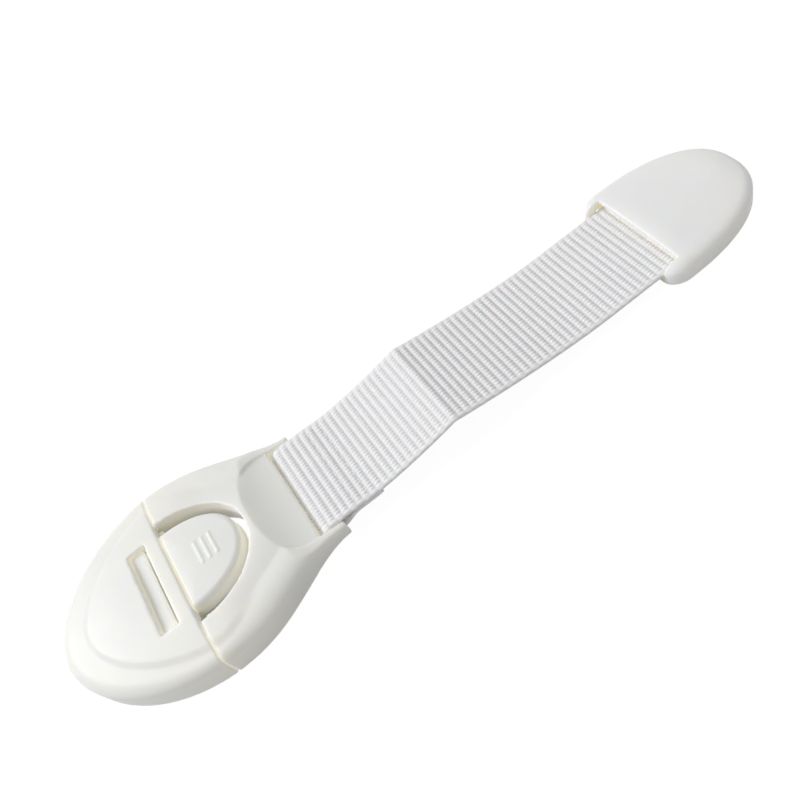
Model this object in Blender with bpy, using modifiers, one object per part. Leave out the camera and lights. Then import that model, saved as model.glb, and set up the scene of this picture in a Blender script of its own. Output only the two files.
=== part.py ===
"""A child safety lock: an adhesive anchor with a press button, a buckle that latches
into it, a webbing strap and an adhesive end cap. Metres, +Z up, +X along the strap.
The origin is the middle of the anchor's adhesive face."""

import math

import bmesh
import bpy
from mathutils import Matrix, Vector

# Clearances
FIT_GAP = 0.0003
RUN_GAP = 0.0005
CUT_PAST = 0.0020

# Head of the lock, seen from above. Lengths are taken from the split between nose and buckle.
SPLIT_X = 0.0100
SPLIT_GAP = 0.0007
NOSE_LENGTH = 0.0293
BUCKLE_LENGTH = 0.0337
HEAD_HALF_WIDTH = 0.0228
WIDEST_PAST_SPLIT = 0.0013
RAIL_WIDTH = 0.0014
TAIL_CORNER = 0.0006
NOSE_ROUNDNESS = 1.9
WAIST_POWER = 1.15

# Head of the lock, seen from the side
RIM_Z = 0.0004
RIM_RADIUS = 0.0008
HEAD_WALL = 0.0016
WALL_DRAFT = 0.00025
WALL_TOP_Z = 0.0059
SHOULDER_WIDTH = 0.0022
TIP_SHOULDER_WIDTH = 0.0042
SHOULDER_RISE = 0.0023
NOSE_CROWN_Z = 0.0097
BUCKLE_CROWN_Z = 0.0094
PLATEAU_SLOPE = 0.08
PLATFORM_STEP = 0.00045
PLATFORM_RUN = 0.0007
PLATFORM_INSET_SIDE = 0.0031
PLATFORM_INSET_TIP = 0.0090
PLATFORM_FADE_START = 0.0040
PLATFORM_FADE_END = 0.0140
NOSE_FAN = 0.0200
NOSE_FAN_EASE = 1.6
TAIL_LIFT = 0.0006
TAIL_LIFT_LENGTH = 0.0148

# Window in the buckle and button in the window
RING_WIDTH = 0.0098
WINDOW_START = 0.0005
WINDOW_TO_SCOOP = 0.0012
WINDOW_POWER = 2.0
WINDOW_WALL = 0.0014
BUTTON_SIDE_GAP = 0.0030
BUTTON_LEFT_GAP = 0.0005
BUTTON_TIP_GAP = 0.0020
BUTTON_POWER = 2.2
BUTTON_TOP_Z = 0.0095
BUTTON_SKIRT_Z = 0.0060
BUTTON_SKIN = 0.0016
BUTTON_EDGE = 0.0010

# Slot in the nose
SLOT_RIGHT = 0.0034
SLOT_WIDTH = 0.0045
SLOT_PAST_BUTTON = 0.0004
SLOT_LEDGE = 0.0008
SLOT_LEDGE_Z = 0.0078
COLLAR_WALL = 0.0014
COLLAR_Z = 0.0070

# Button arms, cross bar, lugs and pin
PIN_BACK = 0.0130
PIN_Z = 0.0046
PIN_RADIUS = 0.0010
ARM_WIDTH = 0.0014
ARM_BOTTOM_Z = 0.0044
ARM_REACH = 0.0030
BOSS_RADIUS = 0.0020
BAR_TOP_Z = 0.0080
BAR_BOTTOM_Z = 0.0056
BAR_SWING_GAP = 0.00045
LUG_THICKNESS = 0.0012
LUG_LENGTH = 0.0016
LUG_AHEAD_OF_RIB = 0.0007
POST_WIDTH = 0.0018
POST_LENGTH = 0.0038
POST_TOP_Z = 0.0065

# Return spring on the pin
SPRING_WIRE_RADIUS = 0.00025
SPRING_COIL_RADIUS = 0.0018
SPRING_TURNS = 4
SPRING_PITCH = 0.0007
SPRING_POINTS_PER_TURN = 14

# Latch arms, catch ribs and guide tongues
LATCH_TO_TONGUE = 0.0006
LATCH_WIDTH = 0.0026
LATCH_BOTTOM_Z = 0.0035
LATCH_THICKNESS = 0.0012
LATCH_TIP = 0.0092
TOOTH_RISE = 0.0015
TOOTH_TOP_LENGTH = 0.0007
TOOTH_BACK = 0.0065
TOOTH_BITE = 0.0010
CATCH_RIB_WIDTH = 0.0012
LATCH_ROOT_START = 0.0055
LATCH_ROOT_LENGTH = 0.0075
PEG_RADIUS = 0.0006
TONGUE_SIDE_INSET = 0.0032
TONGUE_WIDTH = 0.0016
TONGUE_LENGTH = 0.0070
TONGUE_THICKNESS = 0.0020

# Plates and pads under the anchor
PAD_THICKNESS = 0.0008
PAD_INSET = 0.0010
ANCHOR_PLATE = 0.0013
BASE_TONGUE_BACK = 0.0060
STAKE_RADIUS = 0.0012
STAKE_WALL = 0.0010
STAKE_HEIGHT = 0.0026
FRONT_STAKE_BACK = 0.0235
SIDE_STAKE_BACK = 0.0195
SIDE_STAKE_Y = 0.0085

# Plate under the buckle
BUCKLE_PLATE_BOTTOM_Z = 0.0009
BUCKLE_PLATE = 0.0012
SOLID_TAIL_LENGTH = 0.0105

# Scoop, strap slot and strap bar at the buckle's tail
SCOOP_LEFT_Z = 0.0093
SCOOP_LENGTH = 0.0095
SLOT_LINE_Z = 0.0058
RAIL_END_Z = 0.0056
SCOOP_HOLLOW = 0.0004
STRAP_RECESS_LENGTH = 0.0055
STRAP_WIDTH = 0.0245
STRAP_THICKNESS = 0.0010
STRAP_SIDE_GAP = 0.0003
BAR_SLOT = 0.0021
STRAP_BAR_LENGTH = 0.0030
STRAP_BAR_HALF = 0.0007
STRAP_BAR_Z = 0.00355

# Strap: lengths past the buckle's tail, and heights of its middle line
SEWN_LENGTH = 0.0103
SEWN_JOIN = 0.0040
STRAP_LOW_PAST_TAIL = 0.0083
STRAP_LOW_Z = 0.0047
CREASE_PAST_TAIL = 0.0303
CREASE_Z = 0.0082
CREASE_ROUND = 0.0016
STRAP_REST_PAST_CREASE = 0.0390
STRAP_REST_Z = 0.0029
STRAP_BEND = 1.6
CAP_PAST_TAIL = 0.0866

# End cap
CAP_LENGTH = 0.0306
CAP_CHEEK = 0.00345
CAP_CORNER_RISE = 0.0052
CAP_CORNER_LENGTH = 0.0045
CAP_ROUNDNESS = 2.2
CAP_WALL = 0.0012
CAP_WALL_TOP_Z = 0.0044
CAP_SHOULDER_WIDTH = 0.0016
CAP_SHOULDER_RISE = 0.0012
CAP_CROWN_Z = 0.0063
CAP_RIM_RADIUS = 0.0005
CAP_PLATE = 0.0013
CAP_SPINE_START = 0.0075
CAP_SPINE_END = 0.0075
CAP_EDGE_BACK = 0.0024
CAP_LIP_Z = 0.0017
CLAMP_RIBS = 3
CLAMP_RIB_PITCH = 0.0028
CLAMP_RIB_WIDTH = 0.0010
STRAP_IN_CAP = 0.0130
CAP_LEAD_IN = 0.0050
CAP_STAKE_RADIUS = 0.0011
CAP_STAKE_FROM_TIP = 0.0095
CAP_STAKE_Y = 0.0045

# Places worked out from the sizes above
PLATE_TOP_Z = PAD_THICKNESS + ANCHOR_PLATE
WIDEST_X = SPLIT_X + WIDEST_PAST_SPLIT
NOSE_TIP_X = SPLIT_X - NOSE_LENGTH
NOSE_END_X = SPLIT_X - SPLIT_GAP / 2
BUCKLE_START_X = SPLIT_X + SPLIT_GAP / 2
TAIL_X = SPLIT_X + BUCKLE_LENGTH
TAIL_LIFT_START = BUCKLE_LENGTH - TAIL_LIFT_LENGTH
CAVITY_END = BUCKLE_LENGTH - SOLID_TAIL_LENGTH
SLOT_LINE = BUCKLE_LENGTH - STRAP_RECESS_LENGTH
SCOOP_START = SLOT_LINE - SCOOP_LENGTH
RECESS_HALF_WIDTH = STRAP_WIDTH / 2 + STRAP_SIDE_GAP
TAIL_HALF_WIDTH = RECESS_HALF_WIDTH + RAIL_WIDTH
WINDOW_HALF_WIDTH = HEAD_HALF_WIDTH - RING_WIDTH
WINDOW_LENGTH = SCOOP_START - WINDOW_START - WINDOW_TO_SCOOP
BUTTON_HALF_WIDTH = WINDOW_HALF_WIDTH - BUTTON_SIDE_GAP
BUTTON_LEFT_X = SPLIT_X + BUTTON_LEFT_GAP
BUTTON_TIP_X = SPLIT_X + WINDOW_START + WINDOW_LENGTH - BUTTON_TIP_GAP
PIN_X = SPLIT_X - PIN_BACK
ARM_OUTER_Y = BUTTON_HALF_WIDTH
ARM_INNER_Y = ARM_OUTER_Y - ARM_WIDTH
ARM_TOP_Z = COLLAR_Z - FIT_GAP
SLOT_HALF_LENGTH = BUTTON_HALF_WIDTH + SLOT_PAST_BUTTON
SLOT_X1 = SPLIT_X - SLOT_RIGHT
SLOT_X0 = SLOT_X1 - SLOT_WIDTH
SLOT_LEDGE_X = SLOT_X1 - SLOT_LEDGE
BAR_X1 = SLOT_LEDGE_X - BAR_SWING_GAP
LATCH_TOP_Z = LATCH_BOTTOM_Z + LATCH_THICKNESS
TOOTH_TOP_Z = LATCH_TOP_Z + TOOTH_RISE
RIB_BOTTOM_Z = TOOTH_TOP_Z - TOOTH_BITE
TONGUE_OUTER_Y = HEAD_HALF_WIDTH - TONGUE_SIDE_INSET
TONGUE_INNER_Y = TONGUE_OUTER_Y - TONGUE_WIDTH
LATCH_OUTER_Y = TONGUE_INNER_Y - LATCH_TO_TONGUE
LATCH_INNER_Y = LATCH_OUTER_Y - LATCH_WIDTH
LUG_BOTTOM_Z = LATCH_TOP_Z + FIT_GAP
RIB_X0 = SPLIT_X - TOOTH_BACK + FIT_GAP
RIB_X1 = RIB_X0 + CATCH_RIB_WIDTH
LUG_X0 = RIB_X1 + LUG_AHEAD_OF_RIB
BUCKLE_PLATE_TOP_Z = BUCKLE_PLATE_BOTTOM_Z + BUCKLE_PLATE
SLOT_LINE_X = SPLIT_X + SLOT_LINE
STRAP_BAR_X0 = SLOT_LINE_X + BAR_SLOT
STRAP_BAR_X1 = STRAP_BAR_X0 + STRAP_BAR_LENGTH
LOOP_RADIUS = STRAP_BAR_HALF + FIT_GAP + STRAP_THICKNESS / 2
STRAP_LOW_X = TAIL_X + STRAP_LOW_PAST_TAIL
CREASE_X = TAIL_X + CREASE_PAST_TAIL
CAP_FRONT_X = TAIL_X + CAP_PAST_TAIL
CAP_TIP_X = CAP_FRONT_X + CAP_LENGTH
CAP_HALF_WIDTH = STRAP_WIDTH / 2 + CAP_CHEEK
CAP_FRONT_HALF_WIDTH = CAP_HALF_WIDTH - CAP_CORNER_RISE
CAP_PLATE_TOP_Z = PAD_THICKNESS + CAP_PLATE
STRAP_IN_CAP_Z = CAP_PLATE_TOP_Z + FIT_GAP + STRAP_THICKNESS / 2
MOUTH_TOP_Z = STRAP_IN_CAP_Z + STRAP_THICKNESS / 2 + FIT_GAP
ABOVE_ALL = 0.0150

IVORY = (0.80, 0.79, 0.75)
PURE_WHITE = (0.86, 0.86, 0.87)


# Scene and materials
def clear_scene():
    for obj in list(bpy.data.objects):
        bpy.data.objects.remove(obj, do_unlink=True)


def new_collection(name):
    collection = bpy.data.collections.new(name)
    bpy.context.scene.collection.children.link(collection)
    return collection


def plain_material(name, color, roughness, metallic=0.0):
    material = bpy.data.materials.new(name)
    material.use_nodes = True
    shader = material.node_tree.nodes["Principled BSDF"]
    shader.inputs["Base Color"].default_value = (*color, 1.0)
    shader.inputs["Roughness"].default_value = roughness
    shader.inputs["Metallic"].default_value = metallic
    return material


clear_scene()
PARTS = new_collection("child_safety_lock")
CUTTERS = new_collection("cutters")
ABS_WHITE = plain_material("abs_ivory_white", IVORY, 0.38)
ACETAL = plain_material("acetal_natural", PURE_WHITE, 0.30)
STEEL = plain_material("spring_steel", (0.62, 0.62, 0.60), 0.28, 1.0)
FOAM = plain_material("foam_tape_white", (0.82, 0.82, 0.80), 0.85)
WEBBING = plain_material("webbing_white", PURE_WHITE, 0.75)


# Making objects
def add_object(name, mesh, material=None):
    """A named part where it gets a material, and a hidden cutter where it doesn't."""
    obj = bpy.data.objects.new(name, mesh)
    if material is None:
        CUTTERS.objects.link(obj)
        obj.hide_render = True
        obj.display_type = "WIRE"
    else:
        PARTS.objects.link(obj)
        mesh.materials.append(material)
    return obj


def mesh_of(bm, name):
    mesh = bpy.data.meshes.new(name)
    bm.to_mesh(mesh)
    bm.free()
    return mesh


def box(name, low, high, material=None):
    """A box between two corners, made from a unit cube."""
    bm = bmesh.new()
    bmesh.ops.create_cube(bm, size=1.0)
    low, high = Vector(low), Vector(high)
    size = high - low
    place = Matrix.Translation((low + high) / 2) @ Matrix.Diagonal((*size, 1.0))
    bmesh.ops.transform(bm, matrix=place, verts=bm.verts)
    return add_object(name, mesh_of(bm, name), material)


def rod(name, start, end, radius, material=None, segments=24):
    """A round bar from one point to another."""
    bm = bmesh.new()
    start, end = Vector(start), Vector(end)
    axis = end - start
    bmesh.ops.create_cone(
        bm, cap_ends=True, segments=segments, radius1=radius, radius2=radius, depth=axis.length
    )
    turn = axis.to_track_quat("Z", "Y").to_matrix().to_4x4()
    bmesh.ops.transform(bm, matrix=Matrix.Translation((start + end) / 2) @ turn, verts=bm.verts)
    return add_object(name, mesh_of(bm, name), material)


def curve_to_mesh_object(name, curve_object, material):
    """The curve's evaluated shape as a mesh with its caps welded on."""
    graph = bpy.context.evaluated_depsgraph_get()
    mesh = bpy.data.meshes.new_from_object(curve_object.evaluated_get(graph))
    bm = bmesh.new()
    bm.from_mesh(mesh)
    bmesh.ops.transform(bm, matrix=curve_object.matrix_world, verts=bm.verts)
    bmesh.ops.remove_doubles(bm, verts=bm.verts, dist=1e-6)
    bmesh.ops.recalc_face_normals(bm, faces=bm.faces)
    bm.to_mesh(mesh)
    bm.free()
    mesh.materials.clear()
    bpy.data.objects.remove(curve_object, do_unlink=True)
    return add_object(name, mesh, material)


def extruded(name, outline, low, high, material=None, along="Z"):
    """A flat closed outline given its thickness: (x, y) outlines rise along Z,
    and (x, z) outlines run along Y."""
    curve = bpy.data.curves.new(name + "_outline", "CURVE")
    curve.dimensions = "2D"
    curve.fill_mode = "BOTH"
    curve.extrude = (high - low) / 2
    spline = curve.splines.new("POLY")
    spline.points.add(len(outline) - 1)
    for point, (a, b) in zip(spline.points, outline):
        point.co = (a, b, 0.0, 1.0)
    spline.use_cyclic_u = True
    obj = bpy.data.objects.new(name + "_outline", curve)
    CUTTERS.objects.link(obj)
    middle = (low + high) / 2
    if along == "Z":
        obj.location = (0.0, 0.0, middle)
    else:
        obj.rotation_euler = (math.pi / 2, 0.0, 0.0)
        obj.location = (0.0, middle, 0.0)
    bpy.context.view_layer.update()
    return curve_to_mesh_object(name, obj, material)


def combine(obj, other, operation):
    modifier = obj.modifiers.new(operation.lower() + "_" + other.name, "BOOLEAN")
    modifier.operation = operation
    modifier.object = other
    modifier.solver = "EXACT"


def cut(obj, *others):
    for other in others:
        combine(obj, other, "DIFFERENCE")


def join(obj, *others):
    for other in others:
        combine(obj, other, "UNION")


def both_sides(build):
    """Calls build(label, side) for the left side, +Y, and the right side, -Y."""
    return [build("left", 1.0), build("right", -1.0)]


def side_box(name, x_range, y_range, z_range, side):
    near, far = sorted((side * y_range[0], side * y_range[1]))
    return box(name, (x_range[0], near, z_range[0]), (x_range[1], far, z_range[1]))


def smooth_step(value):
    value = min(max(value, 0.0), 1.0)
    return value * value * (3.0 - 2.0 * value)


# Outlines seen from above
def head_half_width(x):
    """Half the head's width: a full superellipse on the nose, an S curve down to the tail."""
    if x <= WIDEST_X:
        share = (WIDEST_X - x) / (WIDEST_X - NOSE_TIP_X)
        left = max(1.0 - share**NOSE_ROUNDNESS, 0.0)
        return HEAD_HALF_WIDTH * left ** (1.0 / NOSE_ROUNDNESS)
    along = min((x - WIDEST_X) / (TAIL_X - WIDEST_X), 1.0)
    ease = (1.0 + math.cos(math.pi * along**WAIST_POWER)) / 2.0
    return TAIL_HALF_WIDTH + (HEAD_HALF_WIDTH - TAIL_HALF_WIDTH) * ease


def d_outline(flat_x, round_x, length, half_width, power, steps=14):
    """A D with its flat side at flat_x, straight to round_x, then round to its tip."""
    far_side = []
    for step in range(steps + 1):
        turn = math.pi / 2 * step / steps
        x = round_x + length * math.sin(turn) ** (2.0 / power)
        y = half_width * math.cos(turn) ** (2.0 / power) if step < steps else 0.0
        far_side.append((x, y))
    if flat_x < round_x:
        far_side.insert(0, (flat_x, half_width))
    near_side = [(x, -y) for x, y in far_side[:-1]]
    return far_side + near_side[::-1]


def window_outline(grow, flat_x):
    """The buckle's window, grown by a wall or a clearance."""
    round_x = SPLIT_X + WINDOW_START
    return d_outline(flat_x, round_x, WINDOW_LENGTH + grow, WINDOW_HALF_WIDTH + grow, WINDOW_POWER)


def button_outline(inset):
    left_x = BUTTON_LEFT_X + inset
    return d_outline(
        left_x, left_x, BUTTON_TIP_X - inset - left_x, BUTTON_HALF_WIDTH - inset, BUTTON_POWER
    )


def nose_turns(steps):
    """Angles that spread points evenly round the nose, from its tip to its open end."""
    share = (WIDEST_X - NOSE_END_X) / (WIDEST_X - NOSE_TIP_X)
    last = math.acos(share ** (NOSE_ROUNDNESS / 2.0))
    return [last * step / steps for step in range(steps + 1)]


def nose_point(turn):
    power = 2.0 / NOSE_ROUNDNESS
    x = WIDEST_X - (WIDEST_X - NOSE_TIP_X) * math.cos(turn) ** power
    return x, HEAD_HALF_WIDTH * math.sin(turn) ** power


def nose_spine(share):
    """Where a rib meets the middle line of the nose. The share is 0 at the tip and 1 at the end."""
    start = NOSE_TIP_X + NOSE_FAN
    return start + (NOSE_END_X - start) * share**NOSE_FAN_EASE


def anchor_outline(inset, steps=16):
    """The nose's outline moved in, with the D-shaped tongue that reaches under the button."""
    far_side = []
    for index, turn in enumerate(nose_turns(steps)):
        x, y = nose_point(turn)
        reach = Vector((nose_spine(index / steps) - x, -y))
        move = reach.normalized() * inset
        far_side.append((x + move.x, max(y + move.y, 0.0)))
    end_x = NOSE_END_X - FIT_GAP
    far_side = [(x, y) for x, y in far_side if x < end_x] + [(end_x, far_side[-1][1])]
    under_button = max(inset - HEAD_WALL, 0.0) + BUTTON_EDGE
    left_x = BUTTON_LEFT_X + under_button
    reach = BUTTON_TIP_X - BASE_TONGUE_BACK - under_button - left_x
    tongue = d_outline(left_x, left_x, reach, BUTTON_HALF_WIDTH - under_button, BUTTON_POWER)
    half = [(x, y) for x, y in tongue if y >= 0.0]
    far_side += [(end_x, half[0][1])] + half
    near_side = [(x, -y) for x, y in far_side[1:-1]]
    return far_side + near_side[::-1]


# Moulded shells, lofted from ribs that run over the form from the underside to the spine
def skin_profile(reach, wall, crown, shoulder, platform, step, rim):
    """(inset, z) pairs of one rib. A wall above zero gives the inner skin, open below."""
    if wall > 0.0:
        pairs = [(reach, -CUT_PAST), (wall, -CUT_PAST)]
    else:
        corner = RIM_RADIUS * (1.0 - math.sqrt(0.5))
        pairs = [(reach, rim), (RIM_RADIUS, rim), (corner, rim + corner), (0.0, rim + RIM_RADIUS)]
    for index in range(5):
        turn = math.pi / 2 * index / 4
        inset = WALL_DRAFT + shoulder - (shoulder - wall) * math.cos(turn)
        pairs.append((inset, WALL_TOP_Z + (SHOULDER_RISE - wall) * math.sin(turn)))
    shelf = WALL_DRAFT + shoulder
    foot_z = WALL_TOP_Z + SHOULDER_RISE - wall
    platform = max(min(platform, reach - 2 * PLATFORM_RUN), shelf + PLATFORM_RUN)
    edge_z = foot_z + PLATEAU_SLOPE * (platform - shelf)
    pairs.append(((shelf + platform) / 2, (foot_z + edge_z) / 2))
    pairs.append((platform, edge_z))
    pairs.append((platform + PLATFORM_RUN / 2, edge_z + step / 2))
    pairs.append((platform + PLATFORM_RUN, edge_z + step))
    start, start_z = pairs[-1]
    rise = max(crown - wall - start_z, 0.0)
    for index in range(1, 5):
        share = index / 4
        pairs.append((start + (reach - start) * share, start_z + rise * (1.0 - (1.0 - share) ** 4)))
    return pairs


def rib_points(foot, spine, pairs):
    """One rib in space, from (inset, z) pairs measured from foot towards spine."""
    direction = (Vector(spine) - Vector(foot)).normalized()
    points = []
    for inset, z in pairs:
        place = Vector(foot) + direction * inset
        points.append((place.x, max(place.y, 0.0), z))
    points[0] = (spine[0], 0.0, points[0][2])
    points[-1] = (spine[0], 0.0, points[-1][2])
    return points


def lofted(name, ribs, first_cap, last_cap, material=None):
    """Half a form between ribs on the +Y side, mirrored in the middle plane."""
    bm = bmesh.new()
    rows = [[bm.verts.new(point) for point in rib] for rib in ribs]
    for near, far in zip(rows, rows[1:]):
        for index in range(len(near) - 1):
            bm.faces.new((near[index], near[index + 1], far[index + 1], far[index]))
    if first_cap:
        bm.faces.new(rows[0][::-1])
    if last_cap:
        bm.faces.new(rows[-1])
    bmesh.ops.remove_doubles(bm, verts=bm.verts, dist=1e-6)
    bmesh.ops.triangulate(bm, faces=bm.faces)
    obj = add_object(name, mesh_of(bm, name), material)
    mirror = obj.modifiers.new("other_side", "MIRROR")
    mirror.use_axis = (False, True, False)
    mirror.merge_threshold = 1e-5
    return obj


def nose_form(name, wall, material=None, steps=18):
    """The nose's outer skin, or its inner skin where there is a wall."""
    ribs = []
    for index, turn in enumerate(nose_turns(steps)):
        x, y = nose_point(turn)
        spine = (nose_spine(index / steps), 0.0)
        reach = math.hypot(spine[0] - x, y)
        ahead = (NOSE_END_X - x) / (NOSE_END_X - NOSE_TIP_X)
        platform = PLATFORM_INSET_SIDE + (PLATFORM_INSET_TIP - PLATFORM_INSET_SIDE) * ahead
        shoulder = SHOULDER_WIDTH + (TIP_SHOULDER_WIDTH - SHOULDER_WIDTH) * ahead
        pairs = skin_profile(reach, wall, NOSE_CROWN_Z, shoulder, platform, PLATFORM_STEP, RIM_Z)
        ribs.append(rib_points((x, y), spine, pairs))
    if wall > 0.0:
        last = [(x + CUT_PAST, y, z) for x, y, z in ribs[-1]]
        ribs.append(last)
    return lofted(name, ribs, False, True, material)


def buckle_rib(x, wall, corner=0.0):
    half_width = head_half_width(x) - corner
    past = x - SPLIT_X
    fade = (past - PLATFORM_FADE_START) / (PLATFORM_FADE_END - PLATFORM_FADE_START)
    step = PLATFORM_STEP * (1.0 - smooth_step(fade))
    lift = TAIL_LIFT * smooth_step((past - TAIL_LIFT_START) / (BUCKLE_LENGTH - TAIL_LIFT_START))
    pairs = skin_profile(
        half_width, wall, BUCKLE_CROWN_Z, SHOULDER_WIDTH, PLATFORM_INSET_SIDE, step, RIM_Z + lift
    )
    return rib_points((x, half_width), (x, 0.0), pairs)


def buckle_form(name, start_x, end_x, wall, material=None, steps=22):
    """The buckle's outer skin, or its inner skin, between two places along it."""
    body_end = end_x - TAIL_CORNER if wall == 0.0 else end_x
    ribs = []
    for step in range(steps + 1):
        ribs.append(buckle_rib(start_x + (body_end - start_x) * step / steps, wall))
    if wall == 0.0:
        for index in range(1, 5):
            turn = math.pi / 2 * index / 4
            x = body_end + TAIL_CORNER * math.sin(turn)
            ribs.append(buckle_rib(x, wall, TAIL_CORNER * (1.0 - math.cos(turn))))
    return lofted(name, ribs, True, True, material)


# Anchor
def slot_cutter():
    """The slot goes right through, and its upper part is wider by the ledge at its right."""
    outline = [
        (SLOT_X0, COLLAR_Z - CUT_PAST),
        (SLOT_LEDGE_X, COLLAR_Z - CUT_PAST),
        (SLOT_LEDGE_X, SLOT_LEDGE_Z),
        (SLOT_X1, SLOT_LEDGE_Z),
        (SLOT_X1, ABOVE_ALL),
        (SLOT_X0, ABOVE_ALL),
    ]
    return extruded("nose_slot", outline, -SLOT_HALF_LENGTH, SLOT_HALF_LENGTH, along="Y")


def stake_places():
    return [
        (SPLIT_X - FRONT_STAKE_BACK, 0.0),
        (SPLIT_X - SIDE_STAKE_BACK, SIDE_STAKE_Y),
        (SPLIT_X - SIDE_STAKE_BACK, -SIDE_STAKE_Y),
    ]


def make_nose_cover():
    """The nose shell, with its slot collar, catch ribs and locating pegs left in the hollow."""
    cover = nose_form("nose_cover", 0.0, ABS_WHITE)
    hollow = nose_form("nose_hollow", HEAD_WALL)
    collar = box(
        "slot_collar",
        (SLOT_X0 - COLLAR_WALL, -SLOT_HALF_LENGTH - COLLAR_WALL, COLLAR_Z),
        (SPLIT_X + 2 * CUT_PAST, SLOT_HALF_LENGTH + COLLAR_WALL, ABOVE_ALL),
    )
    cut(hollow, collar)
    for rib in both_sides(
        lambda label, side: side_box(
            "catch_rib_" + label,
            (RIB_X0, RIB_X1),
            (LATCH_INNER_Y - FIT_GAP, LATCH_OUTER_Y + FIT_GAP),
            (RIB_BOTTOM_Z, ABOVE_ALL),
            side,
        )
    ):
        cut(hollow, rib)
    for index, (x, y) in enumerate(stake_places()):
        peg = rod(
            f"cover_peg_{index + 1}", (x, y, PLATE_TOP_Z + FIT_GAP), (x, y, ABOVE_ALL), STAKE_RADIUS
        )
        cut(hollow, peg)
    cut(cover, hollow, slot_cutter())
    return cover


def make_anchor_base():
    """The plate under the nose and the button, with pin posts and peg sockets."""
    inset = WALL_DRAFT + HEAD_WALL + FIT_GAP
    outline = anchor_outline(inset)
    base = extruded("anchor_base", outline, PAD_THICKNESS, PLATE_TOP_Z, ABS_WHITE)
    inner_y = ARM_OUTER_Y + RUN_GAP
    for post in both_sides(
        lambda label, side: side_box(
            "pin_post_" + label,
            (PIN_X - POST_LENGTH / 2, PIN_X + POST_LENGTH / 2),
            (inner_y, inner_y + POST_WIDTH),
            (PLATE_TOP_Z - ANCHOR_PLATE / 2, POST_TOP_Z),
            side,
        )
    ):
        join(base, post)
    for index, (x, y) in enumerate(stake_places()):
        top = PLATE_TOP_Z + STAKE_HEIGHT
        socket = rod(
            f"peg_socket_{index + 1}",
            (x, y, PLATE_TOP_Z - ANCHOR_PLATE / 2),
            (x, y, top),
            STAKE_RADIUS + FIT_GAP + STAKE_WALL,
        )
        bore = rod(
            f"peg_bore_{index + 1}",
            (x, y, PLATE_TOP_Z),
            (x, y, top + CUT_PAST),
            STAKE_RADIUS + FIT_GAP,
        )
        join(base, socket)
        cut(base, bore)
    half_span = inner_y + POST_WIDTH + CUT_PAST
    pin_bore = rod(
        "pin_bore", (PIN_X, -half_span, PIN_Z), (PIN_X, half_span, PIN_Z), PIN_RADIUS + FIT_GAP
    )
    cut(base, pin_bore)
    return base


def make_anchor_pad():
    inset = WALL_DRAFT + HEAD_WALL + FIT_GAP + PAD_INSET
    return extruded("anchor_foam_pad", anchor_outline(inset), 0.0, PAD_THICKNESS, FOAM)


def make_pin():
    half_span = ARM_OUTER_Y + RUN_GAP + POST_WIDTH
    return rod(
        "button_pivot_pin", (PIN_X, -half_span, PIN_Z), (PIN_X, half_span, PIN_Z), PIN_RADIUS, STEEL
    )


def spring_points():
    """A torsion spring's wire: one leg along the plate, the coil round the pin,
    and one leg under the button's cross bar."""
    wire = SPRING_WIRE_RADIUS
    floor_z = PLATE_TOP_Z + FIT_GAP + wire
    start_y = -SPRING_TURNS * SPRING_PITCH / 2
    leg_x = PIN_X - 3 * SPRING_COIL_RADIUS
    points = [(leg_x, start_y, floor_z), ((leg_x + PIN_X) / 2, start_y, floor_z)]
    first = -math.pi / 2
    total = SPRING_TURNS * SPRING_POINTS_PER_TURN
    for index in range(total + 1):
        turn = first - 2 * math.pi * index / SPRING_POINTS_PER_TURN
        y = start_y + SPRING_PITCH * index / SPRING_POINTS_PER_TURN
        drop = max(0.0, PIN_Z - SPRING_COIL_RADIUS - floor_z) if index == 0 else 0.0
        points.append(
            (
                PIN_X + SPRING_COIL_RADIUS * math.cos(turn),
                y,
                PIN_Z + SPRING_COIL_RADIUS * math.sin(turn) - drop,
            )
        )
    end_y = start_y + SPRING_PITCH * SPRING_TURNS
    tip_z = BAR_BOTTOM_Z - FIT_GAP - wire
    tip_x = SLOT_X0 + SLOT_WIDTH / 2
    points.append((PIN_X + 1.6 * SPRING_COIL_RADIUS, end_y + SPRING_PITCH / 2, PIN_Z - SPRING_COIL_RADIUS))
    points.append((tip_x, end_y + SPRING_PITCH, tip_z))
    return points


def make_return_spring():
    curve = bpy.data.curves.new("return_spring_wire", "CURVE")
    curve.dimensions = "3D"
    curve.bevel_depth = SPRING_WIRE_RADIUS
    curve.bevel_resolution = 1
    curve.use_fill_caps = True
    points = spring_points()
    spline = curve.splines.new("POLY")
    spline.points.add(len(points) - 1)
    for point, place in zip(spline.points, points):
        point.co = (*place, 1.0)
    obj = bpy.data.objects.new("return_spring_wire", curve)
    CUTTERS.objects.link(obj)
    bpy.context.view_layer.update()
    return curve_to_mesh_object("button_return_spring", obj, STEEL)


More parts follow.
